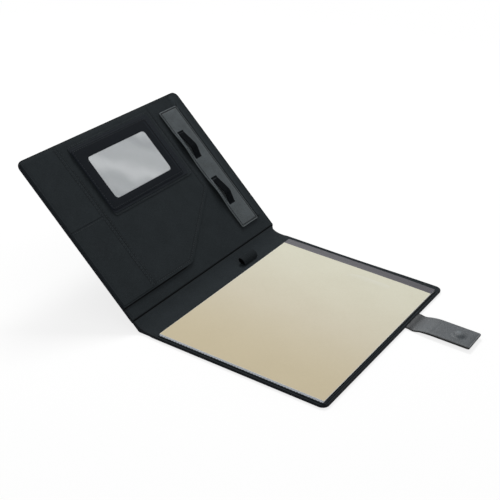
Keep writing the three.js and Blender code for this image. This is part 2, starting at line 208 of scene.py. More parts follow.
def edgeDistance(across, along, corners, sides=None):
    # shortest distance to the chosen sides of a convex outline, positive inside it
    corner = np.array([c[:2] for c in corners], float)
    middle = corner.mean(0)
    nearest = np.full(np.shape(across), 1e9)
    for i in range(len(corner)) if sides is None else sides:
        a, b = corner[i], corner[(i + 1) % len(corner)]
        normal = np.array([a[1] - b[1], b[0] - a[0]]) / np.linalg.norm(b - a)
        normal = normal if (middle - a) @ normal > 0 else -normal
        distance = (across - a[0]) * normal[0] + (along - a[1]) * normal[1]
        nearest = np.minimum(nearest, distance)
    return nearest


def arcRows(radius, height, turn, under):
    # the rows of a rounded edge, from its underside out or from its side in
    if under:
        inset, rise = radius * (1 - np.sin(turn)), radius * (1 - np.cos(turn))
    else:
        inset, rise = radius * (1 - np.cos(turn)), -radius * (1 - np.sin(turn))
    return np.stack([inset, 0 * turn, height + rise], -1)


def slabProfile(
    bottom, top, bottomRound, topRound, topRings, bottomRings=1, arc=4, border=0.0,
    borderRings=26, extra=(),
):
    # rows of (inset, share of the way to the middle, height): from the underside's middle out,
    # round the lower and the upper edge, and in to the top's middle; up to the share border,
    # the rings of the top lie closer, and there is one more at each extra share
    turn = quarterTurn(arc)
    under = [(bottomRound, n / (bottomRings + 1), bottom) for n in range(bottomRings, 0, -1)]
    close = border * (np.arange(1, borderRings + 1) / borderRings) ** 2 if border else []
    wide = border + (1 - border) * np.arange(1, topRings + 1) / (topRings + 1)
    over = [(topRound, share, top) for share in sorted([*close, *wide, *extra])]
    lower, upper = arcRows(bottomRound, bottom, turn, True), arcRows(topRound, top, turn, False)
    return np.concatenate([under, lower, upper, over]), len(under) + 2 * len(turn) - 1


def gridFaces(rows, columns, closeRows=False, closeColumns=False):
    r = np.arange(rows if closeRows else rows - 1)[:, None]
    c = np.arange(columns if closeColumns else columns - 1)[None]
    down, right = (r + 1) % rows * columns, (c + 1) % columns
    quads = [r * columns + c, r * columns + right, down + right, down + c]
    return np.stack(quads, -1).reshape(-1, 4).tolist()


def tubeFaces(rings, sides):
    # rings joined to a tube with a flat face over each end
    last = (rings - 1) * sides
    caps = [list(range(sides))[::-1], list(range(last, last + sides))]
    return gridFaces(rings, sides, closeColumns=True) + caps


class Surface:
    # points in millimetres as (across, along, height), their pattern coordinates and faces, how
    # close each is to an edge, and how much painted shade is laid there, as in a seam or a fold
    def __init__(self, points, uv, faces, edge=None, shade=None):
        self.points, self.uv, self.faces = points, uv, faces
        self.edge, self.shade = (
            np.zeros(len(points)) if mark is None else mark for mark in (edge, shade)
        )


def ringSurface(
    shape, profile, closed=True, lift=None, relief=None, shade=None, edgeReach=3.0, wallDark=0.0
):
    # each profile row gives one ring: path + inward * inset, moved a share of the way to the
    # middle, at the row's height; lift moves all rings, relief those of the top; the walls get
    # painted shade towards their foot
    path, inward, middle = shape[:3]
    table, flatRow = profile
    inset, share, height = table.T[..., None]
    middle = np.array(middle, float)
    flat = path[None] + inward[None] * inset[..., None]
    flat = flat + (middle - flat) * share[..., None]
    rows, count = len(table), len(path)
    length = runLength(table[:, [0, 2]])
    unrolled = inset[flatRow] - np.abs(length - length[flatRow])[:, None]
    uv = np.where(share[..., None] > 0, flat, path[None] + inward[None] * unrolled[..., None])
    edge = np.exp(-np.linalg.norm(flat - path[None], axis=-1) / edgeReach)
    poles = np.array([[*middle, height[0, 0]], [*middle, height[-1, 0]]])
    points = np.concatenate([flat, np.repeat(height, count, 1)[..., None]], -1)
    points = np.concatenate([points.reshape(-1, 3), poles])
    uv = np.concatenate([uv.reshape(-1, 2), poles[:, :2]])
    onTop = np.concatenate([np.repeat(np.arange(rows) >= flatRow, count), [False, True]])
    foot = (height.max() - points[:, 2]) / (height.max() - height.min())
    dark = np.where(onTop, shade(*points.T[:2]) if shade else 0, wallDark * foot)
    if relief:
        points[:, 2] += np.where(onTop, relief(*points.T[:2]), 0)
    if lift:
        points[:, 2] += lift(*points.T[:2])
    low, high, top = rows * count, rows * count + 1, (rows - 1) * count
    i = np.arange(count if closed else count - 1)
    j = (i + 1) % count
    faces = gridFaces(rows, count, closeColumns=closed)
    faces += np.stack([np.full(len(i), low), j, i], -1).tolist()
    faces += np.stack([np.full(len(i), high), top + i, top + j], -1).tolist()
    if not closed:
        ring = np.arange(rows) * count
        faces.append([low, *ring.tolist(), high, *(ring[::-1] + count - 1).tolist()])
    return Surface(points, uv, faces, np.concatenate([edge.ravel(), [0, 0]]), dark)


def flatSlab(shape, bottom, top, rounding, rings=12, border=0.0, **looks):
    profile = slabProfile(bottom, top, 0.03, rounding, rings, border=border)
    return ringSurface(shape, profile, **looks)


def sweptSurface(section, stations, lift=None, narrow=None, shade=None):
    # a closed outline of (along, height), repeated at each distance across, and narrowed there
    across, along = np.meshgrid(stations, section[:, 0], indexing="ij")
    height = np.repeat(section[None, :, 1], len(stations), 0)
    if narrow:
        along = along - np.sign(along) * narrow(across)
    if lift:
        height = height + lift(across, along)
    uv = np.stack([across, along[:, :1] + runLength(section)], -1).reshape(-1, 2)
    points = np.stack([across, along, height], -1).reshape(-1, 3)
    edge = np.exp((np.abs(points[:, 1]) - halfHeight) / 3)
    dark = shade(*points.T[:2]) if shade else None
    return Surface(points, uv, tubeFaces(*across.shape), edge, dark)


def joined(surfaces):
    start, faces = 0, []
    for surface in surfaces:
        faces += [[k + start for k in face] for face in surface.faces]
        start += len(surface.points)
    points, uv, edge, shade = (
        np.concatenate([getattr(surface, name) for surface in surfaces])
        for name in ("points", "uv", "edge", "shade")
    )
    return Surface(points, uv, faces, edge, shade)


def makePiece(
    name, surface, finish, body=None, blend=None, replaces=(), place=coverPlace, slot=None, sharp=42
):
    # puts the surface where place says, in metres, with its faces turned outwards
    points = place(*surface.points.T) / 1000
    mesh = bpy.data.meshes.new(name)
    mesh.from_pydata(points.tolist(), [], surface.faces)
    mesh.validate()
    mesh.calc_loop_triangles()
    triangles = np.array([t.vertices[:] for t in mesh.loop_triangles])
    a, b, c = (points[triangles[:, i]] for i in range(3))
    if np.einsum("ij,ij->i", a, np.cross(b, c)).sum() < 0:
        mesh.flip_normals()
    corner = np.zeros(len(mesh.loops), int)
    mesh.loops.foreach_get("vertex_index", corner)
    layer = mesh.uv_layers.new(name="pattern")
    layer.data.foreach_set("uv", surface.uv[corner].astype(np.float32).ravel())
    for title, values in (("edgeMark", surface.edge), ("shadeMark", surface.shade)):
        mark = mesh.attributes.new(title, "FLOAT", "POINT")
        mark.data.foreach_set("value", values.astype(np.float32))
    mesh.shade_smooth()
    mesh.set_sharp_from_angle(angle=math.radians(sharp))
    piece = bpy.data.objects.new(name, mesh)
    bpy.context.scene.collection.objects.link(piece)
    mesh.materials.append(finish[0])
    if blend:
        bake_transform(piece)
    else:
        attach(piece, body)
    if replaces:
        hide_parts(*replaces)
    return piece


stitchShape = dict(length=2.7, pitch=3.7, radius=0.27, sides=6, dip=0.36)


def stitchRow(line, height, closed=False, **changes):
    # short threads along a line of (across, along): a capsule whose ends sink into the cloth;
    # height(across, along) is the cloth's surface
    shape = dict(stitchShape, **changes)
    line = np.concatenate([line, line[:1]]) if closed else line
    gone = runLength(line)
    count = max(1, int(gone[-1] / shape["pitch"]))
    centre = (np.arange(count) + 0.5) * gone[-1] / count
    along = np.linspace(-1, 1, 7)
    thick = np.sqrt(np.clip(1 - along**6, 0, 1)) * (0.55 + 0.45 * (1 - along**2))
    thick[[0, -1]] = 0.15
    thick = shape["radius"] * thick[None, :, None]
    angle = np.arange(shape["sides"]) * 2 * math.pi / shape["sides"]
    where = centre[:, None] + along * shape["length"] / 2
    at = sampled(line, gone, where)
    ahead = sampled(line, gone, where + 0.05) - sampled(line, gone, where - 0.05)
    ahead /= np.maximum(np.linalg.norm(ahead, axis=-1, keepdims=True), 1e-9)
    side = np.stack([-ahead[..., 1], ahead[..., 0]], -1)
    ring = at[:, :, None] + side[:, :, None] * (thick * np.cos(angle))[..., None]
    level = height(at[..., 0], at[..., 1]) + shape["radius"] * 0.55 - shape["dip"] * along**4
    rise = level[..., None] + thick * np.sin(angle)
    points = np.concatenate([ring, rise[..., None]], -1).reshape(-1, 3)
    size = len(along) * len(angle)
    thread = tubeFaces(len(along), len(angle))
    faces = [[i + k * size for i in face] for k in range(count) for face in thread]
    uv = np.stack([0 * angle + where[..., None], angle + 0 * where[..., None]], -1)
    return Surface(points, uv.reshape(-1, 2), faces)


# finishes
class Wire:
    # an output in a node tree; sums and products of it add Math nodes
    def __init__(self, owner, socket):
        self.owner, self.socket = owner, socket

    def maths(self, operation, first, second=0.0, clamp=False):
        settings = {"operation": operation, "use_clamp": clamp}
        return self.owner.node("ShaderNodeMath", settings, {0: first, 1: second})

    def __add__(self, other):
        return self.maths("ADD", self, other)

    def __radd__(self, other):
        return self.maths("ADD", other, self)

    def __sub__(self, other):
        return self.maths("SUBTRACT", self, other)

    def __rsub__(self, other):
        return self.maths("SUBTRACT", other, self)

    def __mul__(self, other):
        return self.maths("MULTIPLY", self, other)

    def __rmul__(self, other):
        return self.maths("MULTIPLY", other, self)

    def sine(self):
        return self.maths("SINE", self)

    def held(self):
        return self.maths("ADD", self, clamp=True)

    def output(self, key):
        return Wire(self.owner, self.socket.node.outputs[key])

    def between(self, low, high):
        sockets = {"Value": self, "From Min": low, "From Max": high}
        settings = {"interpolation_type": "SMOOTHSTEP"}
        return self.owner.node("ShaderNodeMapRange", settings, sockets)


class Tree:
    # the node tree of a material or a world, and the method that adds any node to it
    def __init__(self, owner, outputKind):
        owner.use_nodes = True
        self.tree = owner.node_tree
        self.tree.nodes.clear()
        self.end = self.tree.nodes.new(outputKind)

    def node(self, kind, settings=None, sockets=None, out=0):
        made = self.tree.nodes.new(kind)
        for key, value in (settings or {}).items():
            if key == "stops":
                ramp = made.color_ramp
                while len(ramp.elements) < len(value):
                    ramp.elements.new(0.5)
                for element, (place, colour) in zip(ramp.elements, value):
                    element.position, element.color = place, (*colour, 1)
            else:
                setattr(made, key, value)
        for key, value in (sockets or {}).items():
            if isinstance(value, Wire):
                self.tree.links.new(value.socket, made.inputs[key])
            elif made.inputs[key].type == "RGBA" and len(value) == 3:
                made.inputs[key].default_value = (*value, 1)
            else:
                made.inputs[key].default_value = value
        return Wire(self, made.outputs[out])

    def finishWith(self, wire):
        self.tree.links.new(wire.socket, self.end.inputs[0])

    def vectors(self, operation, sockets, out=0):
        return self.node("ShaderNodeVectorMath", {"operation": operation}, sockets, out)

    def place(self):
        return self.node("ShaderNodeTexCoord", out="Object")

    def seenDirectly(self):
        # 1 on rays from the camera, off a glossy surface or through a clear one
        seen = self.node("ShaderNodeLightPath", out="Is Camera Ray")
        return (seen + seen.output("Is Glossy Ray") + seen.output("Is Transmission Ray")).held()


class Finish(Tree):
    # one material round a Principled shader, and the slot that its pieces name
    def __init__(self, name, slot, roughness, **constants):
        self.material, self.slot = bpy.data.materials.new(name), slot
        super().__init__(self.material, "ShaderNodeOutputMaterial")
        self.shader = self.tree.nodes.new("ShaderNodeBsdfPrincipled")
        self.tree.links.new(self.shader.outputs[0], self.end.inputs[0])
        for key, value in dict(constants, Roughness=roughness).items():
            self.shader.inputs[key.replace("_", " ")].default_value = value

    def feed(self, key, wire):
        self.tree.links.new(wire.socket, self.shader.inputs[key])

    def pattern(self):
        return self.node("ShaderNodeUVMap", {"uv_map": "pattern"})

    def directions(self):
        # the pattern's distances across and along
        split = self.node("ShaderNodeSeparateXYZ", sockets={0: self.pattern()})
        return split, split.output(1)

    def noise(self, vector, scale, detail=2.0, roughness=0.5):
        # a triple as the scale stretches the noise
        if not isinstance(scale, (int, float)):
            vector, scale = self.vectors("MULTIPLY", {0: vector, 1: scale}), 1.0
        sockets = {"Vector": vector, "Scale": scale, "Detail": detail, "Roughness": roughness}
        return self.node("ShaderNodeTexNoise", sockets=sockets)

    def fibres(self, long, short, detail, roughness=0.5):
        # noise drawn out one way plus the same drawn out the other way
        lengthways = self.noise(self.pattern(), (long, short, 1), detail, roughness)
        return lengthways + self.noise(self.pattern(), (short, long, 1), detail, roughness)

    def cells(self, vector, scale, feature="F1"):
        sockets = {"Vector": vector, "Scale": scale}
        return self.node("ShaderNodeTexVoronoi", {"feature": feature}, sockets)

    def attribute(self, name):
        return self.node("ShaderNodeAttribute", {"attribute_name": name}, out="Fac")

    def mixed(self, first, second, share):
        sockets = {0: share.held(), 6: first, 7: second}
        return self.node("ShaderNodeMix", {"data_type": "RGBA"}, sockets, out=2)

    def toned(self, base, low, high, share):
        return self.mixed(scaled(base, low), scaled(base, high), share)

    def wearAndHighlight(self, colour, pale, start, scale, detail, edgeLight):
        # paler in patches where the mesh is marked: wear on edges, and painted highlights where
        # an edge or a rise would catch the light
        worn = (self.attribute("edgeMark") - start) * self.noise(self.pattern(), scale, detail)
        return self.mixed(colour, pale, worn * edgeLight)

    def paintedShadeAndInk(self, colour):
        # painted shade: the colour goes near black where the mesh is marked, for the shadow in
        # seams, folds, gaps and at the foot of walls; on the strap's sides the mark is its own
        # black edge ink
        return self.mixed(colour, (0.002, 0.0022, 0.0025), self.attribute("shadeMark") * 0.92)

    def finished(self, colour, roughness=None, bumps=None, depth=0.0001, strength=0.5):
        if colour:
            self.feed("Base Color", colour)
        if roughness:
            self.feed("Roughness", roughness.held())
        if bumps:
            sockets = {"Height": bumps, "Distance": depth, "Strength": strength}
            self.feed("Normal", self.node("ShaderNodeBump", sockets=sockets))
        return self.material, self.slot


def shown(red, green, blue):
    # a colour as a screen shows it, 0 to 255, as the linear numbers a shader takes
    value = np.array([red, green, blue]) / 255
    curve = ((value + 0.055) / 1.055) ** 2.4
    return tuple(np.where(value <= 0.04045, value / 12.92, curve).tolist())


def scaled(colour, factor):
    return tuple(min(1.0, c * factor) for c in colour)


def clothFinish(name, slot, base, pitch, contrast, edgeLight):
    # plain weave: two crossed sine waves of one thread pitch, broken up by slubs
    finish = Finish(name, slot, 0.85, Specular_IOR_Level=0.05)
    pattern = finish.pattern()
    across, along = finish.directions()
    wave = 2 * math.pi / pitch
    weave = (across * wave).sine() * (along * wave).sine()
    slub = finish.fibres(2.4, 0.18, 2) * 0.5
    cloud, speck = finish.noise(pattern, 0.035, 3), finish.noise(pattern, 0.9, 3, 0.65)
    tone = (slub - 0.5) * 1.2 + (cloud - 0.5) * 0.4 + (speck - 0.5) * 1.0 + weave * 0.08
    colour = finish.toned(base, 1 - contrast, 1 + contrast, tone + 0.5)
    colour = finish.wearAndHighlight(colour, scaled(base, 2.0), 0.3, 0.4, 2, edgeLight)
    bumps = weave * 0.5 + slub * 0.9 + speck * 0.4
    rough = 0.86 - (slub - 0.5) * 0.25
    return finish.finished(finish.paintedShadeAndInk(colour), rough, bumps, 0.00022, 0.6)


def leatherFinish(name, slot, base, grain, mottling, roughness, specular, depth, edgeLight):
    # pebbled grain: the ridges between small cells, over soft mottling
    finish = Finish(name, slot, roughness, Specular_IOR_Level=specular)
    pattern = finish.pattern()
    wander = finish.noise(pattern, 0.5, 2).output(1)
    wander = finish.vectors("SCALE", {0: wander, "Scale": 0.6})
    shifted = finish.vectors("ADD", {0: pattern, 1: wander})
    pebble = finish.cells(shifted, grain)
    crease = finish.cells(shifted, grain * 0.45, "DISTANCE_TO_EDGE")
    tiny, cloud = finish.noise(pattern, 2.2, 3, 0.6), finish.noise(pattern, 0.06, 3)
    tone = (cloud - 0.5) * 1.1 + (pebble - 0.4) * -0.7 + (tiny - 0.5) * 0.9
    colour = finish.toned(base, 1 - mottling, 1 + mottling, tone + 0.5)
    colour = finish.wearAndHighlight(colour, scaled(base, 1.9), 0.35, 0.3, 3, edgeLight)
    rough = roughness + (tiny - 0.5) * 0.22 + (cloud - 0.5) * 0.15
    bumps = pebble * -0.8 + crease.between(0.0, 0.12) * 0.5 + tiny * 0.35
    return finish.finished(finish.paintedShadeAndInk(colour), rough, bumps, depth, 0.7)


def elasticFinish(name, base):
    # knitted elastic: fine cross threads between the cords that the mesh has
    finish = Finish(name, "black_elastic", 0.85, Specular_IOR_Level=0.03)
    across, along = finish.directions()
    knit = (across * 7.5).sine() * (along * 5.2).sine()
    fluff = finish.noise(finish.pattern(), 1.6, 3, 0.7)
    colour = finish.paintedShadeAndInk(finish.toned(base, 0.5, 1.8, knit * 0.35 + fluff))
    return finish.finished(colour, 0.72 + fluff * 0.2, knit * 0.5 + fluff * 0.5, 0.0002, 0.7)


def threadFinish(name, slot, base):
    # twisted thread: slanting plies along each stitch
    finish = Finish(name, slot, 0.7, Specular_IOR_Level=0.08)
    gone, around = finish.directions()
    ply = (gone * 6.0 + around * 2.0).sine()
    return finish.finished(finish.toned(base, 0.6, 1.5, ply * 0.5 + 0.5), bumps=ply)


def paperFinish(name, slot, near, middle, far, fibre):
    # uncoated paper: short fibres and clouds; the colour grades from tan at the near end to pale
    # cream at the far end, painted light for the sheen that the far end catches
    finish = Finish(name, slot, 0.8, Specular_IOR_Level=0.25)
    share = finish.directions()[1].between(-160, 150)
    stops = [(0.0, near), (0.45, middle), (1.0, far)]
    ramp = finish.node("ShaderNodeValToRGB", {"stops": stops}, {0: share})
    hair = finish.fibres(0.9, 0.12, 4, 0.7)
    tone = (hair - 1.0) * 0.8 + (finish.noise(finish.pattern(), 0.02, 3) - 0.5) * 0.5
    colour = finish.mixed(ramp, scaled(near, 0.8), tone * fibre + 0.05)
    # painted highlight: the sheet's cut edges turn pale
    cutEdgeHighlight = (finish.attribute("edgeMark") - 0.45) * 1.6
    colour = finish.mixed(colour, (0.8, 0.8, 0.76), cutEdgeHighlight)
    return finish.finished(colour, 0.78 + tone * 0.2, hair, 0.00004)


def sheetEdgeFinish(name, slot, base):
    # the edges of stacked sheets: uneven fine lines, one over the other
    finish = Finish(name, slot, 0.85, Specular_IOR_Level=0.2)
    lines = finish.noise(finish.place(), (6, 6, 9000), 3, 0.7)
    patch = finish.noise(finish.place(), 60, 2)
    colour = finish.toned(base, 0.72, 1, lines * 1.4 - 0.2 + (patch - 0.5) * 0.3)
    return finish.finished(colour, bumps=lines, strength=0.7)


def tapeFinish(name, slot, base):
    # coated binding tape: smooth film over a faint cloth, slightly uneven
    finish = Finish(
        name, slot, 0.4, Specular_IOR_Level=0.25, Coat_Weight=0.03, Coat_Roughness=0.3
    )
    across, along = finish.directions()
    ribs = (across * 5.5).sine() * (along * 5.5).sine()
    ripple = finish.noise(finish.pattern(), (0.02, 0.3, 1), 2)
    dust = finish.noise(finish.pattern(), 1.2, 4, 0.7)
    colour = finish.toned(base, 0.8, 1.25, ripple * 0.8 + dust * 0.3)
    bumps = ribs * 0.2 + ripple * 2.0 + dust * 0.2
    return finish.finished(colour, 0.38 + (dust - 0.5) * 0.3, bumps)


def boardFinish(name, slot, base):
    # card: flecks and short fibres
    finish = Finish(name, slot, 0.9, Specular_IOR_Level=0.2)
    fleck, cloud = finish.noise(finish.place(), 900, 4, 0.7), finish.noise(finish.place(), 40, 3)
    colour = finish.toned(base, 0.7, 1.2, fleck * 0.7 + cloud * 0.3)
    return finish.finished(colour, bumps=fleck, depth=0.00008)


def silverFinish(name, slot, dark, light):
    # silver-grey card seen through slack film: broad soft bands that run aslant, a painted
    # reflection of the studio's light in the film
    finish = Finish(name, slot, 0.5, Specular_IOR_Level=0.4)
    across, along = finish.directions()
    slant = across * 0.07 + along * 0.045 + finish.noise(finish.pattern(), 0.02, 2) * 3.2
    paintedReflection = slant.sine() * 0.5 + (slant * 2.3 + 1.0).sine() * 0.25
    grain = finish.noise(finish.pattern(), 1.1, 3, 0.6)
    colour = finish.mixed(dark, light, paintedReflection * 0.55 + 0.55 + (grain - 0.5) * 0.12)
    return finish.finished(colour, 0.48 + (grain - 0.5) * 0.2)


def filmFinish(name, slot):
    # clear soft film, slightly rippled, with faint scuffs
    finish = Finish(name, slot, 0.14, Specular_IOR_Level=0.5, Base_Color=(0.86, 0.89, 0.91, 1))
    scuff = finish.noise(finish.pattern(), (0.05, 1.2, 1), 4, 0.7)
    ripple = finish.noise(finish.pattern(), 0.05, 2)
    finish.feed("Alpha", (0.10 + (scuff - 0.5) * 0.08).held())
    return finish.finished(None, 0.12 + scuff * 0.1, ripple, 0.002)


def steelFinish(name, slot):
    # plated disc with turned marks, hidden between the layers
    finish = Finish(name, slot, 0.3, Metallic=1.0)
    brushed = finish.noise(finish.place(), (900, 60, 60), 3)
    colour = finish.mixed((0.5, 0.5, 0.51), (0.68, 0.68, 0.69), brushed)
    return finish.finished(colour, 0.25 + brushed * 0.15)


# name, slot, colour, grain, mottling, roughness, specular, depth, edgeLight
wrapFinish, smoothFinish, paintedLightLedgeFinish, stripFinish, strapFinish = (leatherFinish(*row) for row in (
    ("black cover skin", "cover_skin", shown(13, 16, 20), 1.1, 0.25, 0.6, 0.08, 0.00025, 0.3),
    ("smooth black panel", "smooth_leather", shown(20, 24, 29), 2.2, 0.14, 0.6, 0.04, 0.00006, 0.7),
    # a lighter copy of the smooth panel for the slot's ledge: painted light against the shadow of
    # the window panel
    ("smooth slot edge", "smooth_leather", shown(33, 37, 42), 2.2, 0.14, 0.6, 0.04, 0.00006, 1.2),
    # a high edgeLight: the pale marks on the strip's rounded edges are painted highlights
    ("padded grey leather", "grey_leather", shown(75, 81, 84), 0.85, 0.34, 0.55, 0.15, 0.0002, 3.0),
    ("grey strap leather", "grey_leather", shown(70, 75, 79), 0.85, 0.28, 0.45, 0.28, 0.0002, 1.6),
))
liningFinish = clothFinish("charcoal lining", "lining_cloth", shown(41, 46, 49), 0.62, 0.42, 1.4)
bandFinish = elasticFinish("ribbed black elastic", shown(8, 11, 14))
penBandFinish = elasticFinish("charcoal elastic", shown(44, 49, 52))
hemThread = threadFinish("charcoal thread", "lining_cloth", shown(60, 65, 68))
edgeThread = threadFinish("black thread", "lining_cloth", shown(40, 45, 48))
greyThread = threadFinish("dark grey thread", "grey_leather", shown(30, 33, 36))
# the near, middle and far colours of the paper's painted gradient of light
creamColours = shown(206, 193, 162), shown(214, 206, 184), shown(220, 218, 199)
creamFinish = paperFinish("cream sheet", "cream_paper", *creamColours, 0.35)
pageFinish = sheetEdgeFinish("page edges", "white_paper", shown(236, 241, 248))
tapeMaterial = tapeFinish("binding tape", "binding_tape", shown(60, 58, 65))
# the card is coloured darker so that its edge beside the pad shows as a painted shadow line
cardFinish = boardFinish("grey card", "grey_card", shown(104, 102, 98))
# the dark and the light of the painted reflection
silverColours = shown(150, 155, 159), shown(214, 217, 219)
silverMaterial = silverFinish("silver card", "silver_card", *silverColours)
filmMaterial = filmFinish("clear film", "clear_film")
steelMaterial = steelFinish("plated steel", "magnet_steel")
print("finishes made:", len(bpy.data.materials))

# covers and spine
wrap = dict(
    lowRound=1.5, topRound=0.9, rimFlat=0.2, floor=0.72, rings=14, grooveDepth=0.45, bulge=0.97,
    foldReach=dict(back=7.5, front=22.0), paleRim=1.2, paleMark=6.0,
)
lining = dict(
    inset=1.35, bottom=2.8, top=3.6, lowRound=0.15, round=0.3, rings=26, border=0.05,
    borderRings=24, stripRings=(0.1061, 0.1321, 0.0022), creaseDepth=1.45, creaseWidth=0.85,
    seamInset=3.4, rim=155.6, length=0.314,
)


def wrapProfile():
    # underside from its middle, round the turned edge, over the rim and down its inner wall
    turn = quarterTurn(5)
    low, high, thick = wrap["lowRound"], wrap["topRound"], sizes["coverThick"]
    under = [(low, n / (wrap["rings"] + 1), 0.0) for n in range(wrap["rings"], 0, -1)]
    rim = high + wrap["rimFlat"]
    inner = [(rim, 0, thick), (rim + 0.1, 0, thick - 0.15), (rim + 0.12, 0, wrap["floor"])]
    lower, upper = arcRows(low, 0, turn, True), arcRows(high, thick, turn, False)
    return np.concatenate([under, lower, upper, inner]), len(under)


def outerGroove(across):
    # a pressed joint on the outside along both folds
    return wrap["grooveDepth"] * (bell(across, 0, 1.6) + bell(across, spineLength, 1.6))


def spineNarrow(across):
    # between its folds the spine is a little shorter than the covers are
    return 0.8 * smooth(across, 0.3, 2.5) * fall(across, spineLength - 1.8, spineLength - 0.2)


def spineBulge(across):
    # the skin of the bend stands off towards the corner where the two covers' planes meet
    slope = sizes["slope"]
    turned = np.clip((across - sizes["spineFlat"]) / sizes["bendRadius"], 0, slope)
    return wrap["bulge"] * bendZ * (1 / np.cos(np.minimum(turned, slope - turned)) - 1)


def edgeSeam(across, along, width):
    # 1 on the line of stitches that runs round a cover's free edges
    back, front = across + sizes["coverWidth"], spineLength + sizes["coverWidth"] - across
    free = np.minimum(np.abs(back), np.abs(front))
    return bell(np.minimum(halfHeight - np.abs(along), free), lining["seamInset"], width)


def stripBand(across, along):
    # 1 beside the organiser strip's far edge, falling off towards the cover's far edge
    s = across - spineLength
    return smooth(along, 136, 138) * fall(along, 140, 155) * smooth(s, 8, 20)


def liningTop(across, along):
    # cloth glued over board is never quite flat, and its seam is pressed in
    waves = np.sin(across * 0.061 + 1.3) * np.sin(along * 0.047)
    waves = 0.05 * (waves + np.sin(across * 0.13 + along * 0.09))
    return waves + 0.7 * stripBand(across, along) - 0.2 * edgeSeam(across, along, 0.7)


def liningShade(across, along):
    # painted shade in the edge's seam, and a painted shadow along the organiser strip's far side
    s = across - spineLength
    beside = smooth(s, 18, 21) * fall(s, 204, 206)
    return 0.3 * edgeSeam(across, along, 0.6) + beside * bell(along, 140.2, 0.9)


def foldedLining(across, along):
    # loose away from the folds, and sunk into the front fold as a rounded groove
    loose = smooth(np.abs(across), 2, 7) * smooth(np.abs(across - spineLength), 2, 7)
    dip = lining["creaseDepth"] * bell(across, spineLength, lining["creaseWidth"])
    return loose * liningTop(across, along) - dip


def creaseShade(across, along):
    # painted shade in the fold, and a painted shadow beneath the document pocket's mouth
    mouth = 1.1 * bell(across, spineLength + 17.2, 0.8) * fall(along, -35, -25)
    return 1.1 * bell(across, spineLength, 1.0) + mouth + liningShade(across, along)


def coverPath(side, inset, step):
    # open outline of one cover: from its fold, round the two free corners, back to its fold
    edge, radius = halfHeight - inset, sizes["corner"] - inset
    fold, free = -wrap["foldReach"]["back"], inset - sizes["coverWidth"]
    if side > 0:
        fold, free = spineLength + wrap["foldReach"]["front"], spineLength - free
    corners = [(fold, -edge, 0), (free, -edge, radius), (free, edge, radius), (fold, edge, 0)]
    return *roundedPath(corners, step, closed=False), (fold, 0)


def mirroredSection(rows, between=()):
    # a rim's profile at the near edge, the points between, and the same rim at the far edge
    near = np.stack([-halfHeight + rows[:, 0], rows[:, 2]], -1)
    return np.concatenate([near, np.reshape(between, (-1, 2)), near[::-1] * (-1, 1)])


# the rings of the lining lie closer at its rim and beside the organiser strip
liningProfile = slabProfile(
    lining["bottom"], lining["top"], lining["lowRound"], lining["round"], lining["rings"],
    border=lining["border"], borderRings=lining["borderRings"],
    extra=np.arange(*lining["stripRings"]),
)


def foldSections():
    # the skin's and the lining's sections through the folds, with the same rims as the covers'
    rows, flatRow = wrapProfile()
    edge = liningProfile[0][liningProfile[0][:, 1] == 0] + (lining["inset"], 0, 0)
    inner = np.array([0.5, 1, 1.6, 2.2, 2.8, 3.4, 4, 5, 7])
    along = [inner - lining["rim"], np.linspace(-140, 140, 57), lining["rim"] - inner[::-1]]
    between = [(y, lining["top"]) for y in np.concatenate(along)]
    return mirroredSection(rows[flatRow:]), mirroredSection(edge, between)


for side, word in ((-1, "back"), (1, "front")):
    body = f"{word}_cover"
    shell = ringSurface(coverPath(side, 0, 5), wrapProfile(), closed=False, edgeReach=1.2)
    if word == "front":
        # the front cover's near edge is made nearly as pale as the lining
        shell.edge[shell.points[:, 1] < wrap["paleRim"] - halfHeight] = wrap["paleMark"]
    nodes = [f"{body}_skin", f"{body}_board"]
    makePiece(f"cover_wrap_{word}", shell, wrapFinish, body, replaces=nodes)
    cloth = ringSurface(
        coverPath(side, lining["inset"], 4), liningProfile, closed=False, relief=liningTop,
        shade=liningShade,
    )
    # painted highlight where the cloth rises beside the organiser strip's far edge
    cloth.edge = np.maximum(cloth.edge, 0.8 * stripBand(*cloth.points.T[:2]))
    piece = makePiece(f"lining_{word}", cloth, liningFinish, body, replaces=[f"{body}_lining"])
    rests = [f"cover_wrap_{word}"]

reach, mouthReach = wrap["foldReach"]["back"], wrap["foldReach"]["front"]


def foldPlace(across):
    return coverPlace(np.array(float(across)), 0, sizes["midHeight"]) / 1000


foldBlend = dict(
    back=("back_cover", "spine", foldPlace(-4), foldPlace(4)),
    front=("spine", "front_cover", foldPlace(spineLength - 4), foldPlace(spineLength + 4)),
)
# how far each stretch reaches, its stations, and the nodes that its skin and its lining replace
stretches = dict(
    back=(-reach, reach, 37, [], ["back_crease"]),
    spine=(reach, spineLength - reach, 13, ["spine_skin", "spine_core"], ["spine_lining"]),
    front=(spineLength - reach, spineLength + mouthReach, 119, [], ["front_crease"]),
)
shellSection, clothSection = foldSections()
for word, (first, last, count, skinNodes, nodes) in stretches.items():
    stations = np.linspace(first, last, count)
    moving = dict(blend=foldBlend[word]) if word in foldBlend else dict(body="spine")
    shell = sweptSurface(shellSection, stations, narrow=spineNarrow)
    low = fall(shell.points[:, 2], 0.6, sizes["coverThick"])
    shell.points[:, 2] += outerGroove(shell.points[:, 0]) * (shell.points[:, 2] < 0.9)
    shell.points[:, 2] -= spineBulge(shell.points[:, 0]) * low
    makePiece(f"wrap_fold_{word}", shell, wrapFinish, replaces=skinNodes, **moving)
    cloth = sweptSurface(clothSection, stations, foldedLining, spineNarrow, creaseShade)
    piece = makePiece(f"lining_fold_{word}", cloth, liningFinish, replaces=nodes, **moving)
    flat, rests = ((last - first) / 1000, lining["length"]), [f"wrap_fold_{word}"]
print("covers and spine done")

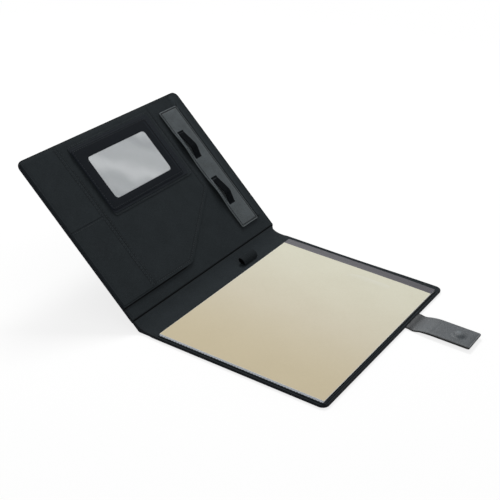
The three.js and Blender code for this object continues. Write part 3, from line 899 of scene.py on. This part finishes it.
# writing pad
pad = dict(
    left=-103.0, right=107.0, near=-153.5, far=143.5, sheets=9, slant=1.1, spread=0.07,
    cardBottom=3.6, cardTop=4.3, pagesBottom=4.7, pagesTop=6.4, top=6.6,
    tapeWidth=13.0, tapeThick=0.2, tapeFoot=3.62, boundLift=0.6,
)
panel = dict(near=-155.5, far=36.5, beside=2.0, radius=2.0, bottom=4.3, top=4.7)


def sheetWave(across, along):
    # the top sheets lift a little off the block at the near free corner and along the near edge,
    # and the bound end is thicker with its glue
    x = sizes["backFoldX"] - across
    corner = smooth(x, 40, 107) * smooth(-along, 60, 153.5)
    edge = (0.5 + 0.5 * np.sin(x * 0.045 + 0.6)) * smooth(-along, 90, 153.5)
    bound = smooth(along, 100, 144) * smooth(107 - x, 0, 40) * smooth(x, -70, 30)
    return 0.28 * corner**1.5 + 0.12 * edge + pad["boundLift"] * bound


panelShape = outlineBack(
    pad["left"] - panel["beside"], pad["right"] + panel["beside"], panel["near"], panel["far"],
    panel["radius"], 4,
)


def panelTop(across, along):
    return panel["top"] + 0 * across


def panelShade(across, along):
    # the pad's foot casts the panel's border in shadow
    return 0.9 * smooth(edgeDistance(across, along, panelShape[3]), 0.9, 1.9)


surface = flatSlab(
    panelShape, panel["bottom"], panel["top"], 0.2, 8, border=0.06, shade=panelShade, wallDark=0.8
)
piece = makePiece("pad_panel", surface, liningFinish, "back_cover", replaces=["pad_slot_panel"])
padEnds = [pad[key] for key in ("left", "right", "near", "far")]
surface = flatSlab(outlineBack(*padEnds, 0.6), pad["cardBottom"], pad["cardTop"], 0.1, 2)
makePiece("pad_card", surface, cardFinish, "back_cover", replaces=["pad_backing_card"])

random = np.random.default_rng(7)


def pageBlock():
    # each layer of sheets is shifted a little, the lower ones further out at the near edge
    layers, layer = [], (pad["pagesTop"] - pad["pagesBottom"]) / pad["sheets"]
    for i in range(pad["sheets"]):
        shift = random.normal(0, pad["spread"], 4)
        base, share = pad["pagesBottom"] + i * layer, i / (pad["sheets"] - 1)
        left, right = pad["left"] + 0.2 + shift[0], pad["right"] - 0.5 + shift[1]
        near = pad["near"] - pad["slant"] * (1 - share) + 0.1 + shift[2]
        shape = outlineBack(left, right, near, pad["far"] - 0.1, 0.5, 12)
        page = flatSlab(shape, base, base + layer * 0.93, 0.04, 6)
        page.points[:, 2] += share * sheetWave(*page.points.T[:2])
        layers.append(page)
    return joined(layers)


makePiece("pad_sheets", pageBlock(), pageFinish, "back_cover", replaces=["pad_pages"])
surface = flatSlab(
    outlineBack(*padEnds, 0.5, 5), pad["pagesTop"], pad["top"], 0.06, 18, border=0.02,
    lift=sheetWave, edgeReach=1.0,
)
makePiece("pad_cover", surface, creamFinish, "back_cover", replaces=["pad_cover_sheet"])


def tapeSurface():
    # the tape's section, carried across the pad: over the top sheet and down the glued end
    top, thick, foot = pad["top"], pad["tapeThick"], pad["tapeFoot"]
    far, front = pad["far"], pad["far"] - pad["tapeWidth"]
    turn = quarterTurn(4)
    section = np.concatenate([
        [(front, top + 0.01), (front + 0.05, top + thick * 0.8)],
        [(y, top + thick) for y in np.linspace(front + 0.2, far - 0.3, 8)],
        np.stack([far + thick * np.sin(turn), top + thick * np.cos(turn)], -1),
        [(far + thick, foot), (far + 0.02, foot), (far + 0.02, top)],
    ])
    ends = onBack(pad["left"] - 0.1), onBack(pad["right"] + 0.1)
    swept = sweptSurface(section, np.linspace(*ends, 60))
    across, along, height = swept.points.T
    wave = 0.03 * np.sin(across * 0.19) * (height > top + 0.1)
    swept.points[:, 2] += wave + (height > top - 0.1) * sheetWave(across, along)
    return swept


makePiece("pad_tape", tapeSurface(), tapeMaterial, "back_cover", replaces=["pad_binding_tape"])
print("writing pad done")

# pockets on the front cover
pocket = dict(
    bottom=4.2, top=5.0, mouth=18.0, mouthEnd=139.0, diagonal=88.0, far=249.0, outer=222.4,
    near=1.6, seamInset=3.6, middle=(130, 125), bottomSeam=65.2,
)
slips = dict(
    bottom=5.3, top=5.9, far=62.0, near=2.4, outerEnd=221.6, split=121.5, splitGap=0.5,
    inner=20.0, seamInset=2.7,
)
slots = dict(
    back=(114, 215, 78, 241, 5.3, 5.8), front=(117.25, 211.75, 78, 234.5, 6.1, 6.6), radius=5.0
)
window = dict(
    panel=(120.5, 208.5, 78, 228), hole=(131.8, 193, 95.8, 210.3), line=13.0, bottom=6.9, top=7.7,
    radius=5.0, columns=240, width=13.0, rounding=0.55, inward=0.7, cushion=0.16, seamInset=2.4,
    card=(6.9, 7.1), film=(7.3, 7.42), gap=0.15, cardRadius=4.8,
)


def pocketLift(across, along):
    # the mouth stands open a little between its two ends, and the free edges press down
    s, v = across - spineLength, along + halfHeight
    mouth = (0.35 + 0.95 * bell(v, 104, 40)) * fall(s, 18, 60)
    slack = 0.10 * np.sin(s * 0.05 + v * 0.03) * smooth(np.minimum(222 - s, v - 2), 2, 25)
    sewn = fall(np.minimum(pocket["outer"] - s, v - pocket["near"]), 0, 5.5)
    return mouth + slack - 0.5 * sewn


pocketCorners = [
    (*onFront(pocket[s], pocket[v]), radius) for s, v, radius in (
        ("mouth", "near", 1.0), ("mouth", "mouthEnd", 14.0), ("diagonal", "far", 7.0),
        ("outer", "far", 1.5), ("outer", "near", 8.0),
    )
]
openSides = [0, 1, 2]


def pocketRelief(across, along):
    # a hem on the open sides is two layers thick, with its stitches pressed in
    inside = edgeDistance(across, along, pocketCorners, openSides)
    return 0.28 * fall(inside, 4.6, 5.6) - 0.18 * bell(inside, pocket["seamInset"], 0.5)


def pocketShade(across, along):
    # painted shade in the hem's seam, at its inner edge and along the slip pockets' mouths
    inside = edgeDistance(across, along, pocketCorners, openSides)
    v = along + halfHeight
    seam = bell(v, pocket["bottomSeam"], 0.6) + 0.6 * bell(v, 62.4, 0.5)
    hem = 0.45 * bell(inside, pocket["seamInset"], 0.5) + 0.4 * bell(inside, 5.2, 0.4)
    return hem + 0.4 * seam


def pocketTop(across, along):
    return pocket["top"] + pocketLift(across, along) + pocketRelief(across, along)


surface = ringSurface(
    (*roundedPath(pocketCorners, 3.5), onFront(*pocket["middle"])),
    slabProfile(pocket["bottom"], pocket["top"], 0.25, 0.4, 34, 6, border=0.06),
    lift=pocketLift, relief=pocketRelief, edgeReach=1.2, shade=pocketShade, wallDark=1.1,
)
nodes = ["document_pocket"]
piece = makePiece("pocket_panel", surface, liningFinish, "front_cover", replaces=nodes)


def slipSurface(shape):
    # the hem at the mouth is two layers thick, with its stitches pressed in; painted shade lies in
    # the seam, at the hem's inner edge and along the sides
    corners = shape[3]

    def relief(across, along):
        inside = edgeDistance(across, along, corners, [2])
        return 0.22 * fall(inside, 3.4, 4.4) - 0.2 * bell(inside, slips["seamInset"], 0.45)

    def shade(across, along):
        inside = edgeDistance(across, along, corners, [2])
        side = edgeDistance(across, along, corners, [1, 3])
        hem = 0.5 * bell(inside, slips["seamInset"], 0.4) + 0.4 * bell(inside, 4.4, 0.4)
        return hem + 0.5 * bell(side, 0.2, 0.5)

    return flatSlab(
        shape, slips["bottom"], slips["top"], 0.28, 14, border=0.2, lift=pocketLift,
        relief=relief, shade=shade, edgeReach=1.4, wallDark=1.0,
    )


for word, s0, s1 in (
    ("outer", slips["split"] + slips["splitGap"], slips["outerEnd"]),
    ("inner", slips["inner"], slips["split"]),
):
    shape = outlineFront(s0, s1, slips["near"], slips["far"], 2.0, 3.5)
    surface, nodes = slipSurface(shape), [f"slip_pocket_{word}"]
    piece = makePiece(f"slip_panel_{word}", surface, liningFinish, "front_cover", replaces=nodes)
    flat = ((s1 - s0) / 1000, (slips["far"] - slips["near"]) / 1000)

for word, finish in (("back", liningFinish), ("front", paintedLightLedgeFinish)):
    *ends, bottom, top = slots[word]
    surface = flatSlab(
        outlineFront(*ends, slots["radius"], 3.5), bottom, top, 0.24, 8, border=0.08,
        lift=pocketLift, edgeReach=1.0, wallDark=0.45,
    )
    nodes = [f"card_slot_{word}"]
    piece = makePiece(f"card_step_{word}", surface, finish, "front_cover", replaces=nodes)
    word == "back"


def windowPanel():
    # outer outline to window edge: up the outer side, over a soft cushion, down the inner side
    outer, hole = (outlineFront(*window[k], window["radius"], 3)[0] for k in ("panel", "hole"))
    centre = (outer.mean(0) + hole.mean(0)) / 2
    angle = np.linspace(0, 2 * math.pi, window["columns"], endpoint=False)

    def atAngles(loop):
        # the loop's point in each direction from the centre, so that both loops pair up
        ring = np.concatenate([loop, loop[:1]])
        gone = runLength(ring)
        points = sampled(ring, gone, np.linspace(0, gone[-1], 20001))
        direction = np.unwrap(np.arctan2(points[:, 1] - centre[1], points[:, 0] - centre[0]))
        if direction[-1] < direction[0]:
            points, direction = points[::-1], direction[::-1]
        wanted = direction[0] + (angle - direction[0]) % (2 * math.pi)
        return sampled(points, direction, wanted)

    a, b = atAngles(outer), atAngles(hole)
    low, high, width = window["bottom"], window["top"], window["width"]
    turn, rounding = quarterTurn(4), window["rounding"]
    fromSide, fromTop = 1 - np.cos(turn), 1 - np.sin(turn)
    up = np.stack([rounding * fromSide / width, high - rounding * fromTop], -1)
    over = [(share, high) for share in np.linspace(0.08, 0.9, 40)]
    down = np.stack([1 - window["inward"] * fromTop / width, high - rounding * fromSide], -1)
    profile = np.array([(0.0, low), *up, *over, *down, (1.0, low), (0.5, low)])
    rows, count = len(profile), len(angle)
    share = profile[:, 0, None, None]
    flat = a * (1 - share) + b * share
    top = ((np.arange(rows) > len(turn)) & (np.arange(rows) < rows - len(turn)))[:, None]
    inside = np.linalg.norm(flat - a, axis=-1)
    cushion = np.sin(profile[:, :1] * math.pi) - bell(inside, window["seamInset"], 0.5)
    rise = profile[:, 1:] + np.where(top, window["cushion"] * cushion, 0)
    points = np.concatenate([flat, rise[..., None]], -1).reshape(-1, 3)
    points[:, 2] += pocketLift(*points.T[:2])
    edge = np.exp(-np.minimum(inside, np.linalg.norm(flat - b, axis=-1)) / 1.2)
    # painted light: the outer and inner walls are marked pale against the shade they stand in
    edge = np.where(top, edge, 1.8).ravel()
    # beyond the window's far side, a ridge with a painted highlight, a pressed line with painted
    # shade, and the paler turned-over cloth
    s, v = offFront(points)
    s0, s1, _, far = window["hole"]
    line = far + window["line"]
    beside = smooth(s, s0 - 8, s0 - 4) * fall(s, s1 + 8, s1 + 12) * np.repeat(top, count)
    points[:, 2] += beside * (0.12 * bell(v, line - 3.0, 1.2) - 0.2 * bell(v, line, 0.7))
    pale = 2.2 * bell(v, line - 3.0, 1.3) + 1.9 * smooth(v, line + 0.6, line + 1.4)
    faces = gridFaces(rows, count, closeRows=True, closeColumns=True)
    dark = 0.5 * beside * bell(v, line, 0.9)
    return Surface(points, points[:, :2].copy(), faces, np.maximum(edge, beside * pale), dark)


nodes = ["window_frame"]
makePiece("window_surround", windowPanel(), smoothFinish, "front_cover", replaces=nodes)
(s0, s1, v0, v1), gap = window["hole"], window["gap"]
holeShape = outlineFront(s0 + gap, s1 - gap, v0 + gap, v1 - gap, window["cardRadius"], 4)


def filmLift(across, along):
    # the film bulges a little and ripples aslant between its welded edges
    inside = edgeDistance(across, along, holeShape[3])
    slack = smooth(inside, 0, 12) * (0.12 + 0.08 * np.sin(across * 0.09 + along * 0.06))
    return pocketLift(across, along) + slack


surface = flatSlab(holeShape, *window["card"], 0.05, 6, lift=pocketLift)
makePiece("window_insert", surface, silverMaterial, "front_cover", replaces=["window_card"])
surface = flatSlab(holeShape, *window["film"], 0.04, 14, lift=filmLift)
makePiece("window_sheet", surface, filmMaterial, "front_cover", replaces=["window_film"])
print("pockets done")

# organiser strip and its loops
strip = dict(
    ends=(19.0, 205.0, 258.0, 296.5), bottom=3.9, top=6.3, crown=0.3, radius=2.5,
    loops=(149.5, 75.0), lift=4.0, bulge=2.1, liftWidth=19.0, seamInset=2.3,
)
loop = dict(
    span=41.0, near=263.8, width=13.0, thick=1.0, rise=4.7, foot=1.2, crown=0.4, sway=1.4,
    ribs=7, ribDepth=0.12, stations=41, lip=1.5,
)
stripShape = outlineFront(*strip["ends"], strip["radius"], 2.2)


def stripWaves(s):
    # 1 beside each loop
    return sum(bell(s, middle, strip["liftWidth"]) for middle in strip["loops"])


def stripRise(across, along):
    # beside each loop the near edge stands up and sags back between them
    s, v = across - spineLength, along + halfHeight
    waves = strip["lift"] * stripWaves(s) + 0.5 * bell(s, 30, 14) + 0.4 * bell(s, 190, 12)
    return waves * fall(v, strip["ends"][2], 265.5)


def stripRelief(across, along):
    # a soft filling that rises from the edges, pressed in along the seam
    inside = edgeDistance(across, along, stripShape[3])
    lumps = 0.06 * np.sin(across * 0.11 + 0.7) * np.cos(along * 0.23)
    return 0.35 * smooth(inside, 1.5, 9) + lumps - 0.5 * bell(inside, strip["seamInset"], 0.9)


def stripTop(across, along):
    flat = strip["top"] - strip["crown"]
    return flat + stripRise(across, along) + stripRelief(across, along)


def stripShade(across, along):
    # painted shade in the seam's groove
    inside = edgeDistance(across, along, stripShape[3])
    return 0.95 * bell(inside, strip["seamInset"], 0.7)


def bulged(surface):
    # beside the loops the near edge also stands out towards the near side
    s, v = offFront(surface.points)
    surface.points[:, 1] -= strip["bulge"] * stripWaves(s) * fall(v, 258, 266)
    return surface


profile = slabProfile(
    strip["bottom"], strip["top"] - strip["crown"], 0.5, 0.7, 18, 4, arc=5, border=0.24
)
surface = ringSurface(
    stripShape, profile, lift=stripRise, relief=stripRelief, edgeReach=0.9, shade=stripShade,
    wallDark=1.2,
)
s, v = offFront(surface.points)
# painted highlight where the near edge stands up beside each loop
surface.edge = np.maximum(surface.edge, 0.9 * stripWaves(s) * fall(v, 259, 264))
nodes = ["organizer_strip"]
piece = makePiece("organizer_band", bulged(surface), stripFinish, "front_cover", replaces=nodes)


def loopSurface(middleS):
    # a ribbed flat band: its path leaves one slit, leans up, bends at the crown and goes back in
    stations, half = np.linspace(0, 1, loop["stations"]), loop["span"] / 2
    ends = [0.6 - half, 0.9 - half, 0, half - 0.9, half - 0.6]
    reachS = np.interp(stations, [0, 0.06, 0.5, 0.94, 1], ends)
    top = loop["crown"]
    away = np.where(stations < top, 1 - stations / top, (stations - top) / (1 - top))
    bent = np.sqrt(away**2 + 0.008)
    crown = np.clip((bent[0] - bent) / (bent[0] - bent.min()), 0, 1) ** 0.9
    height = strip["top"] - loop["foot"] + loop["rise"] * crown
    direction = np.stack([np.gradient(reachS), np.gradient(height)], -1)
    direction /= np.linalg.norm(direction, axis=1, keepdims=True)
    width = np.linspace(-0.5, 0.5, 8 * loop["ribs"] + 1)
    ribs = loop["ribDepth"] * (np.cos(width * loop["ribs"] * 2 * math.pi) - 1)
    ribbed = (loop["thick"] / 2 + ribs) * np.sqrt(np.clip(1 - (2 * width) ** 16, 0.02, 1))
    side = np.concatenate([width, width[::-1]])
    out = np.concatenate([ribbed, -ribbed[::-1]])
    along = loop["near"] - halfHeight + (side + 0.5) * loop["width"] + loop["sway"] * crown[:, None]
    across = spineLength + middleS + reachS[:, None] - direction[:, 1:] * out
    rise = height[:, None] + direction[:, :1] * out
    points = np.stack([across, along, rise], -1).reshape(-1, 3)
    # painted shade along the band's two edges
    rim = np.repeat((np.abs(2 * side[None]) > 0.86) * 0.8, len(stations), 0)
    faces = tubeFaces(len(stations), len(side))
    return Surface(points, points[:, :2].copy(), faces, shade=rim.ravel())


def slitLip(s):
    # a low rolled lip round a slit, just above the strip, near black as a painted shadow of the
    # slit's gap
    near, far = loop["near"] - 0.2, loop["near"] + loop["width"] + 0.2
    shape = outlineFront(s - loop["lip"], s + loop["lip"], near, far, 1.2, 1.5)
    rows = np.array([
        (0.0, 0, -0.5), (0.0, 0, 0.05), (0.1, 0, 0.12), (0.3, 0, 0.14), (0.45, 0, 0.1),
        (0.45, 0.5, 0.08),
    ])
    return ringSurface(shape, (rows, 2), lift=stripTop, edgeReach=0.5)


lips = []
for word, middleS in zip(("outer", "inner"), strip["loops"]):
    band, nodes = loopSurface(middleS), [f"elastic_loop_{word}"]
    makePiece(f"elastic_band_{word}", band, bandFinish, "front_cover", replaces=nodes)
    lips += [slitLip(middleS + way * (loop["span"] / 2 - 0.4)) for way in (-1, 1)]
makePiece("slit_lips", joined(lips), bandFinish, "front_cover")
print("strip and loops done")

# pen loop
pen = dict(
    x=-117.4, z=8.2, long=6.0, short=3.2, wall=0.7, near=46.5, far=77.5, ribs=15, ribDepth=0.35,
    endDrop=0.35, lean=math.radians(148), tab=(-120.5, -113.2), tabBottom=3.55, tabTop=4.5,
)


def penTube():
    # an ellipse that is pinched towards its seam, carried along the spine, with a ridge for each
    # cord of the elastic; outside, round the end, inside and round the other end
    turn = np.linspace(0, 2 * math.pi, 56, endpoint=False)
    pinch = 1 - 0.45 * bell(np.cos(turn), -1, 0.45)
    y = np.linspace(pen["near"], pen["far"], 12 * pen["ribs"] + 1)
    share = (y - pen["near"]) / (pen["far"] - pen["near"])
    ridge = pen["ribDepth"] * (np.cos(share * pen["ribs"] * 2 * math.pi) - 1) / 2
    ridge -= pen["endDrop"] * smooth(np.abs(2 * share - 1), 0.97, 1.0)
    along = np.concatenate([y, np.linspace(pen["far"], pen["near"], 9)])[:, None]
    drop = np.concatenate([ridge, np.full(9, -pen["wall"])])[:, None]
    long = (pen["long"] + drop) * np.cos(turn)
    short = (pen["short"] + drop) * np.sin(turn) * pinch
    c, s = math.cos(pen["lean"]), math.sin(pen["lean"])
    place = [pen["x"] + long * c - short * s, along + 0 * turn, pen["z"] + long * s + short * c]
    uv = np.stack([turn * 5 + 0 * along, place[1]], -1).reshape(-1, 2)
    faces = gridFaces(len(along), len(turn), closeRows=True, closeColumns=True)
    # painted shade in the valleys between the cords, and near black inside the tube
    valley = 0.9 * np.clip(-drop / pen["ribDepth"], 0, 1) * (drop > -0.6)
    dark = (drop < -0.6) * 1.2 + valley + 0 * turn
    return Surface(np.stack(place, -1).reshape(-1, 3), uv, faces, shade=dark.ravel())


def asIs(x, y, z):
    return np.stack([x, y, z], -1)


nodes = ["pen_loop"]
makePiece("pen_holder", penTube(), penBandFinish, "spine", replaces=nodes, place=asIs)
shape = outlineBack(*pen["tab"], pen["near"] + 0.5, pen["far"] - 0.5, 0.8, 3)
surface = flatSlab(shape, pen["tabBottom"], pen["tabTop"], 0.35, 4)
makePiece("pen_holder_tab", surface, penBandFinish, "spine")

# closure strap
strap = dict(
    width=39.4, centre=64.0, thick=1.5, low=-1.0, thicker=0.7, corner=3.0, rootX=113.3,
    rootZ=1.75, start=-5.0, split=17.0, reach=79, spacing=1.1, tipFold=(146.3, 4.35), room=3.2,
    route=((-6, 0), (1.05, 0), (8, -0.9), (16, 0.85), (24, 2.2), (33, 2.6), (46, 2.6), (62, 2.6),
           (79, 2.6)),
    lowRound=0.45, topRound=0.32, bumpAt=59.0, bumpRadius=9.0, bumpHeight=2.5, seamInset=2.1,
)


def strapRoute():
    # a smooth curve through the route's points, as closely spaced points with their distance
    # along it; each stretch is a cubic whose slopes are those of its neighbours' chord
    knots = np.array(strap["route"], float)
    slopes = np.gradient(knots[:, 1], knots[:, 0])
    slopes[[0, 1, -4, -3, -2, -1]] = 0
    x = np.linspace(knots[0, 0], knots[-1, 0], 1701)
    k = np.clip(np.searchsorted(knots[:, 0], x) - 1, 0, len(knots) - 2)
    h = knots[k + 1, 0] - knots[k, 0]
    u = (x - knots[k, 0]) / h
    z = knots[k, 1] * (2 * u**3 - 3 * u**2 + 1) + h * slopes[k] * (u**3 - 2 * u**2 + u)
    z += knots[k + 1, 1] * (3 * u**2 - 2 * u**3) + h * slopes[k + 1] * (u**3 - u**2)
    gone = runLength(np.stack([x, z], -1))
    return x + strap["rootX"], z + strap["rootZ"], gone - np.interp(0, x, gone)


routeX, routeZ, routeGone = strapRoute()
routeSlope = np.gradient(routeZ, routeX)


def strapPlace(gone, along, height):
    # along the route by the distance from the strap's root, and out from it by the height
    x, z, slope = (np.interp(gone, routeGone, line) for line in (routeX, routeZ, routeSlope))
    size = np.sqrt(1 + slope**2)
    return np.stack([x - slope / size * height, along + strap["centre"], z + height / size], -1)


strapEnd = float(np.interp(strap["rootX"] + strap["reach"], routeX, routeGone))
half = strap["width"] / 2


def strapRelief(gone, along):
    # padded between the seams, pressed at them, and a soft dome over the magnet
    inside = np.minimum(half - np.abs(along), np.maximum(strapEnd - gone, 0))
    padding = 0.22 * smooth(inside, 2.6, 7) - 0.26 * bell(inside, strap["seamInset"], 0.6)
    far = np.hypot(gone - strap["bumpAt"], along) / strap["bumpRadius"]
    dome = strap["bumpHeight"] * fall(far, 0.5, 1.0) + 0.3 * fall(far, 0, 0.8)
    dome = dome - 0.12 * bell(far, 1.2, 0.1)
    creases = bell(gone, 5.5, 0.8) + bell(gone + along * 0.1, 22, 1.0)
    creases = 0.16 * (creases + bell(gone - along * 0.06, 31, 1.1))
    return padding + dome - creases + 0.05 * np.sin(gone * 0.22 + along * 0.12)


def strapShade(gone, along):
    # painted shade at the rims, most at the near one, and in the seams, and a painted shadow where
    # the strap leaves the cover
    inside = np.minimum(half - np.abs(along), strapEnd - gone)
    rims = 0.6 * fall(inside, 0.2, 1.0) + 0.9 * fall(along + half, 0.5, 1.7)
    return rims + 0.25 * bell(inside, strap["seamInset"], 0.4) + 0.8 * fall(gone, 0, 18)


def strapStretch(first, last):
    # stations along the route; across each, the section's side, the top, and the other side;
    # the side is half the thickness rounded, with a fine line between the two layers
    top, low, corner = strap["thick"] / 2, strap["low"], strap["corner"]
    notch = [(0.0, 0, -0.32), (0.16, 0, -0.25), (0.0, 0, -0.18)]
    lower = arcRows(strap["lowRound"], low, quarterTurn(5), True)
    upper = arcRows(strap["topRound"], top, quarterTurn(5), False)
    rows = [lower, notch, upper]
    side, _, level = np.concatenate(rows).T
    stations = np.linspace(first, last, round((last - first) / strap["spacing"]) + 1)
    taper = np.ones(len(stations))
    if last == strapEnd:
        close = corner * (1 - np.sin(np.linspace(0.15, 1, 12) * math.pi / 2))
        stations = np.concatenate([stations[stations < strapEnd - corner], strapEnd - close])
        taper = np.sqrt(np.clip((strapEnd - stations) / 0.5, 0.12, 1))
    reachIn = np.maximum(stations - (strapEnd - corner), 0)
    width = (half - corner + np.sqrt(np.maximum(corner**2 - reachIn**2, 0)))[:, None]
    near, far = side - width, width - side[::-1]
    inner = (1 - np.cos(np.linspace(0, math.pi, 33)[1:-1])) / 2
    topSpan = near[:, -1:] + (far[:, :1] - near[:, -1:]) * inner
    lowSpan = far[:, -1:] + (near[:, :1] - far[:, -1:]) * inner[::3]
    along = np.concatenate([near, topSpan, far, lowSpan], 1)
    flat = np.concatenate([level, 0 * inner + top, level[::-1], 0 * inner[::3] + low])
    onTop = flat > top - 1e-6
    gone = stations[:, None] + 0 * along
    height = flat - strap["thicker"] * smooth(gone, 16, 26) * (flat < -0.4)
    height = (height + np.where(onTop, strapRelief(gone, along), 0)) * taper[:, None]
    points = np.stack([gone, along, height], -1).reshape(-1, 3)
    uv = np.stack([gone, along + height * np.sign(along) * (1 - onTop)], -1).reshape(-1, 2)
    # the sides and underside are marked near black for the strap's own black edge ink
    dark = np.where(onTop, strapShade(gone, along), 1.3)
    # the leather over the magnet is rubbed paler, and the pale spot is set towards the lamp as a
    # painted highlight
    off = np.hypot(gone - strap["bumpAt"] + 2.0, along - 1.5) / strap["bumpRadius"]
    wearAndHighlight = 1.5 * onTop * bell(off, 0, 0.42)
    return Surface(points, uv, tubeFaces(*along.shape), wearAndHighlight.ravel(), dark.ravel())


def strapFold(x, z):
    # a point on the near and one on the far side of a fold, along X
    return [((x - way * strap["room"]) / 1000, strap["centre"] / 1000, z / 1000) for way in (1, -1)]


for name, ends, bodies, fold, nodes in (
    ("strap_root", (strap["start"], strap["split"]), ("back_cover", "strap_riser"),
     (strap["rootX"], strap["rootZ"]), ["strap_anchor"]),
    ("strap_end", (strap["split"], strapEnd), ("strap_riser", "strap_tip"), strap["tipFold"],
     ["strap_band_riser", "strap_band_tip", "strap_backing"]),
):
    blend = (*bodies, *strapFold(*fold))
    makePiece(name, strapStretch(*ends), strapFinish, blend=blend, replaces=nodes, place=strapPlace)
print("strap done")


# stitching
def stitches(name, rows, finish, body, slot=None):
    makePiece(name, joined(rows), finish, body, slot=slot, sharp=80)


def insetLine(corners, inset, step=1.5):
    path, inward = roundedPath(corners, step)
    return path + inward * inset


def straight(start, end, count=60):
    # a line of the front cover between two (s, v)
    ends = np.array([onFront(*start), onFront(*end)])
    return ends[0] + (ends[1] - ends[0]) * np.linspace(0, 1, count)[:, None]


def liningHeight(across, along):
    return lining["top"] + liningTop(across, along) + 0.02


def onPocket(height):
    # the surface of a layer on the document pocket
    return lambda across, along: height + pocketLift(across, along)


for side, word in ((-1, "back"), (1, "front")):
    path, inward, _ = coverPath(side, 0, 1.5)
    row = stitchRow(path + inward * lining["seamInset"], liningHeight)
    stitches(f"edge_stitches_{word}", [row], edgeThread, f"{word}_cover")

# the pocket's open sides, put in order round a point inside it
hem = insetLine(pocketCorners, pocket["seamInset"])
s, v = hem[:, 0] - spineLength, hem[:, 1] + halfHeight
s, hem = s[(s < 214) & (v > 66)], hem[(s < 214) & (v > 66)]
hem = hem[np.argsort(np.unwrap(np.arctan2(hem[:, 1] - 10, s - 130)))]
mouth, beside = slips["far"] - slips["seamInset"], slips["split"] - 2.0
slipHeight = onPocket(slips["top"] - 0.02)
rows = [
    stitchRow(hem, pocketTop),
    stitchRow(straight((23, pocket["bottomSeam"]), (219, pocket["bottomSeam"]), 100), pocketTop),
    stitchRow(straight((22, mouth), (119.5, mouth)), slipHeight),
    stitchRow(straight((124, mouth), (219, mouth)), slipHeight),
    stitchRow(straight((beside, 5), (beside, 58)), slipHeight),
]
stitches("pocket_stitches", rows, hemThread, "front_cover")
windowLine = insetLine(outlineFront(*window["panel"], window["radius"])[3], window["seamInset"])
slotLine = insetLine(outlineFront(*slots["back"][:4], slots["radius"])[3], 1.6)
rows = [
    stitchRow(windowLine, onPocket(window["top"] - 0.1), closed=True),
    stitchRow(slotLine, onPocket(slots["back"][5]), closed=True),
]
stitches("window_stitches", rows, hemThread, "front_cover", slot="smooth_leather")
stripLine = insetLine(stripShape[3], strip["seamInset"])
row = bulged(stitchRow(stripLine, stripTop, closed=True, radius=0.38))
stitches("strip_stitches", [row], greyThread, "front_cover")
row = stitchRow(insetLine(panelShape[3], 1.0), panelTop, closed=True)
stitches("panel_stitches", [row], hemThread, "back_cover")
print("stitching done")

# finish of the hidden magnets
for name in ("cover_magnet", "strap_magnet"):
    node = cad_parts[name]
    node.data.materials.clear()
    node.data.materials.append(steelMaterial[0])

# floor and light
light = dict(world=0.4, floorShare=0.25, floorGlow=0.785, floorBare=0.72, fade=(0.45, 1.3))
floorPlan = dict(half=4, level=-0.0003)
# each lamp's place, target, size and power
lamps = dict(
    key=((-1.0, 1.25, 1.8), (-0.05, 0, 0), (0.75, 0.75), 36.0),
    fill=((0.9, -2.2, 0.9), (0, 0, 0), (1.8, 1.2), 9.0),
)


def makeFloor():
    # pale for the light that reaches the object; seen directly it glows, keeps the object's
    # shadow, and fades into the white background away from it
    mesh = bpy.data.meshes.new("floor")
    half, level = floorPlan["half"], floorPlan["level"]
    corners = [(x * half, y * half, level) for x, y in ((-1, -1), (1, -1), (1, 1), (-1, 1))]
    mesh.from_pydata(corners, [], [(0, 1, 2, 3)])
    floor = bpy.data.objects.new("floor", mesh)
    bpy.context.scene.collection.objects.link(floor)
    material = bpy.data.materials.new("pale floor")
    tree = Tree(material, "ShaderNodeOutputMaterial")
    bare, kept = (
        tree.node("ShaderNodeBsdfDiffuse", sockets={"Color": (light[share],) * 3})
        for share in ("floorBare", "floorShare")
    )
    glow, plain = (
        tree.node("ShaderNodeEmission", sockets={"Color": (1, 1, 1), "Strength": strength})
        for strength in (light["floorGlow"], 1.0)
    )
    white = tree.node("ShaderNodeAddShader", sockets={0: kept, 1: glow})
    share = tree.vectors("LENGTH", {0: tree.place()}, "Value").between(*light["fade"])
    faded = tree.node("ShaderNodeMixShader", sockets={0: share, 1: white, 2: plain})
    sockets = {0: tree.seenDirectly(), 1: bare, 2: faded}
    tree.finishWith(tree.node("ShaderNodeMixShader", sockets=sockets))
    mesh.materials.append(material)


def makeWorld():
    # soft light for the object, pure white where it is seen directly
    world = bpy.data.worlds.new("studio")
    bpy.context.scene.world = world
    tree = Tree(world, "ShaderNodeOutputWorld")
    soft, white = (
        tree.node("ShaderNodeBackground", sockets={"Color": (1, 1, 1), "Strength": strength})
        for strength in (light["world"], 1.0)
    )
    sockets = {0: tree.seenDirectly(), 1: soft, 2: white}
    tree.finishWith(tree.node("ShaderNodeMixShader", sockets=sockets))


def makeLamp(name, place, target, size, power):
    data = bpy.data.lights.new(name, "AREA")
    data.shape, data.size, data.size_y, data.energy = "RECTANGLE", *size, power
    lamp = bpy.data.objects.new(name, data)
    lamp.location = place
    towards = Vector(target) - Vector(place)
    lamp.rotation_euler = towards.to_track_quat("-Z", "Y").to_euler()
    bpy.context.scene.collection.objects.link(lamp)


makeFloor()
makeWorld()
for name, settings in lamps.items():
    makeLamp(name, *settings)
bpy.context.scene.view_settings.view_transform = "Standard"
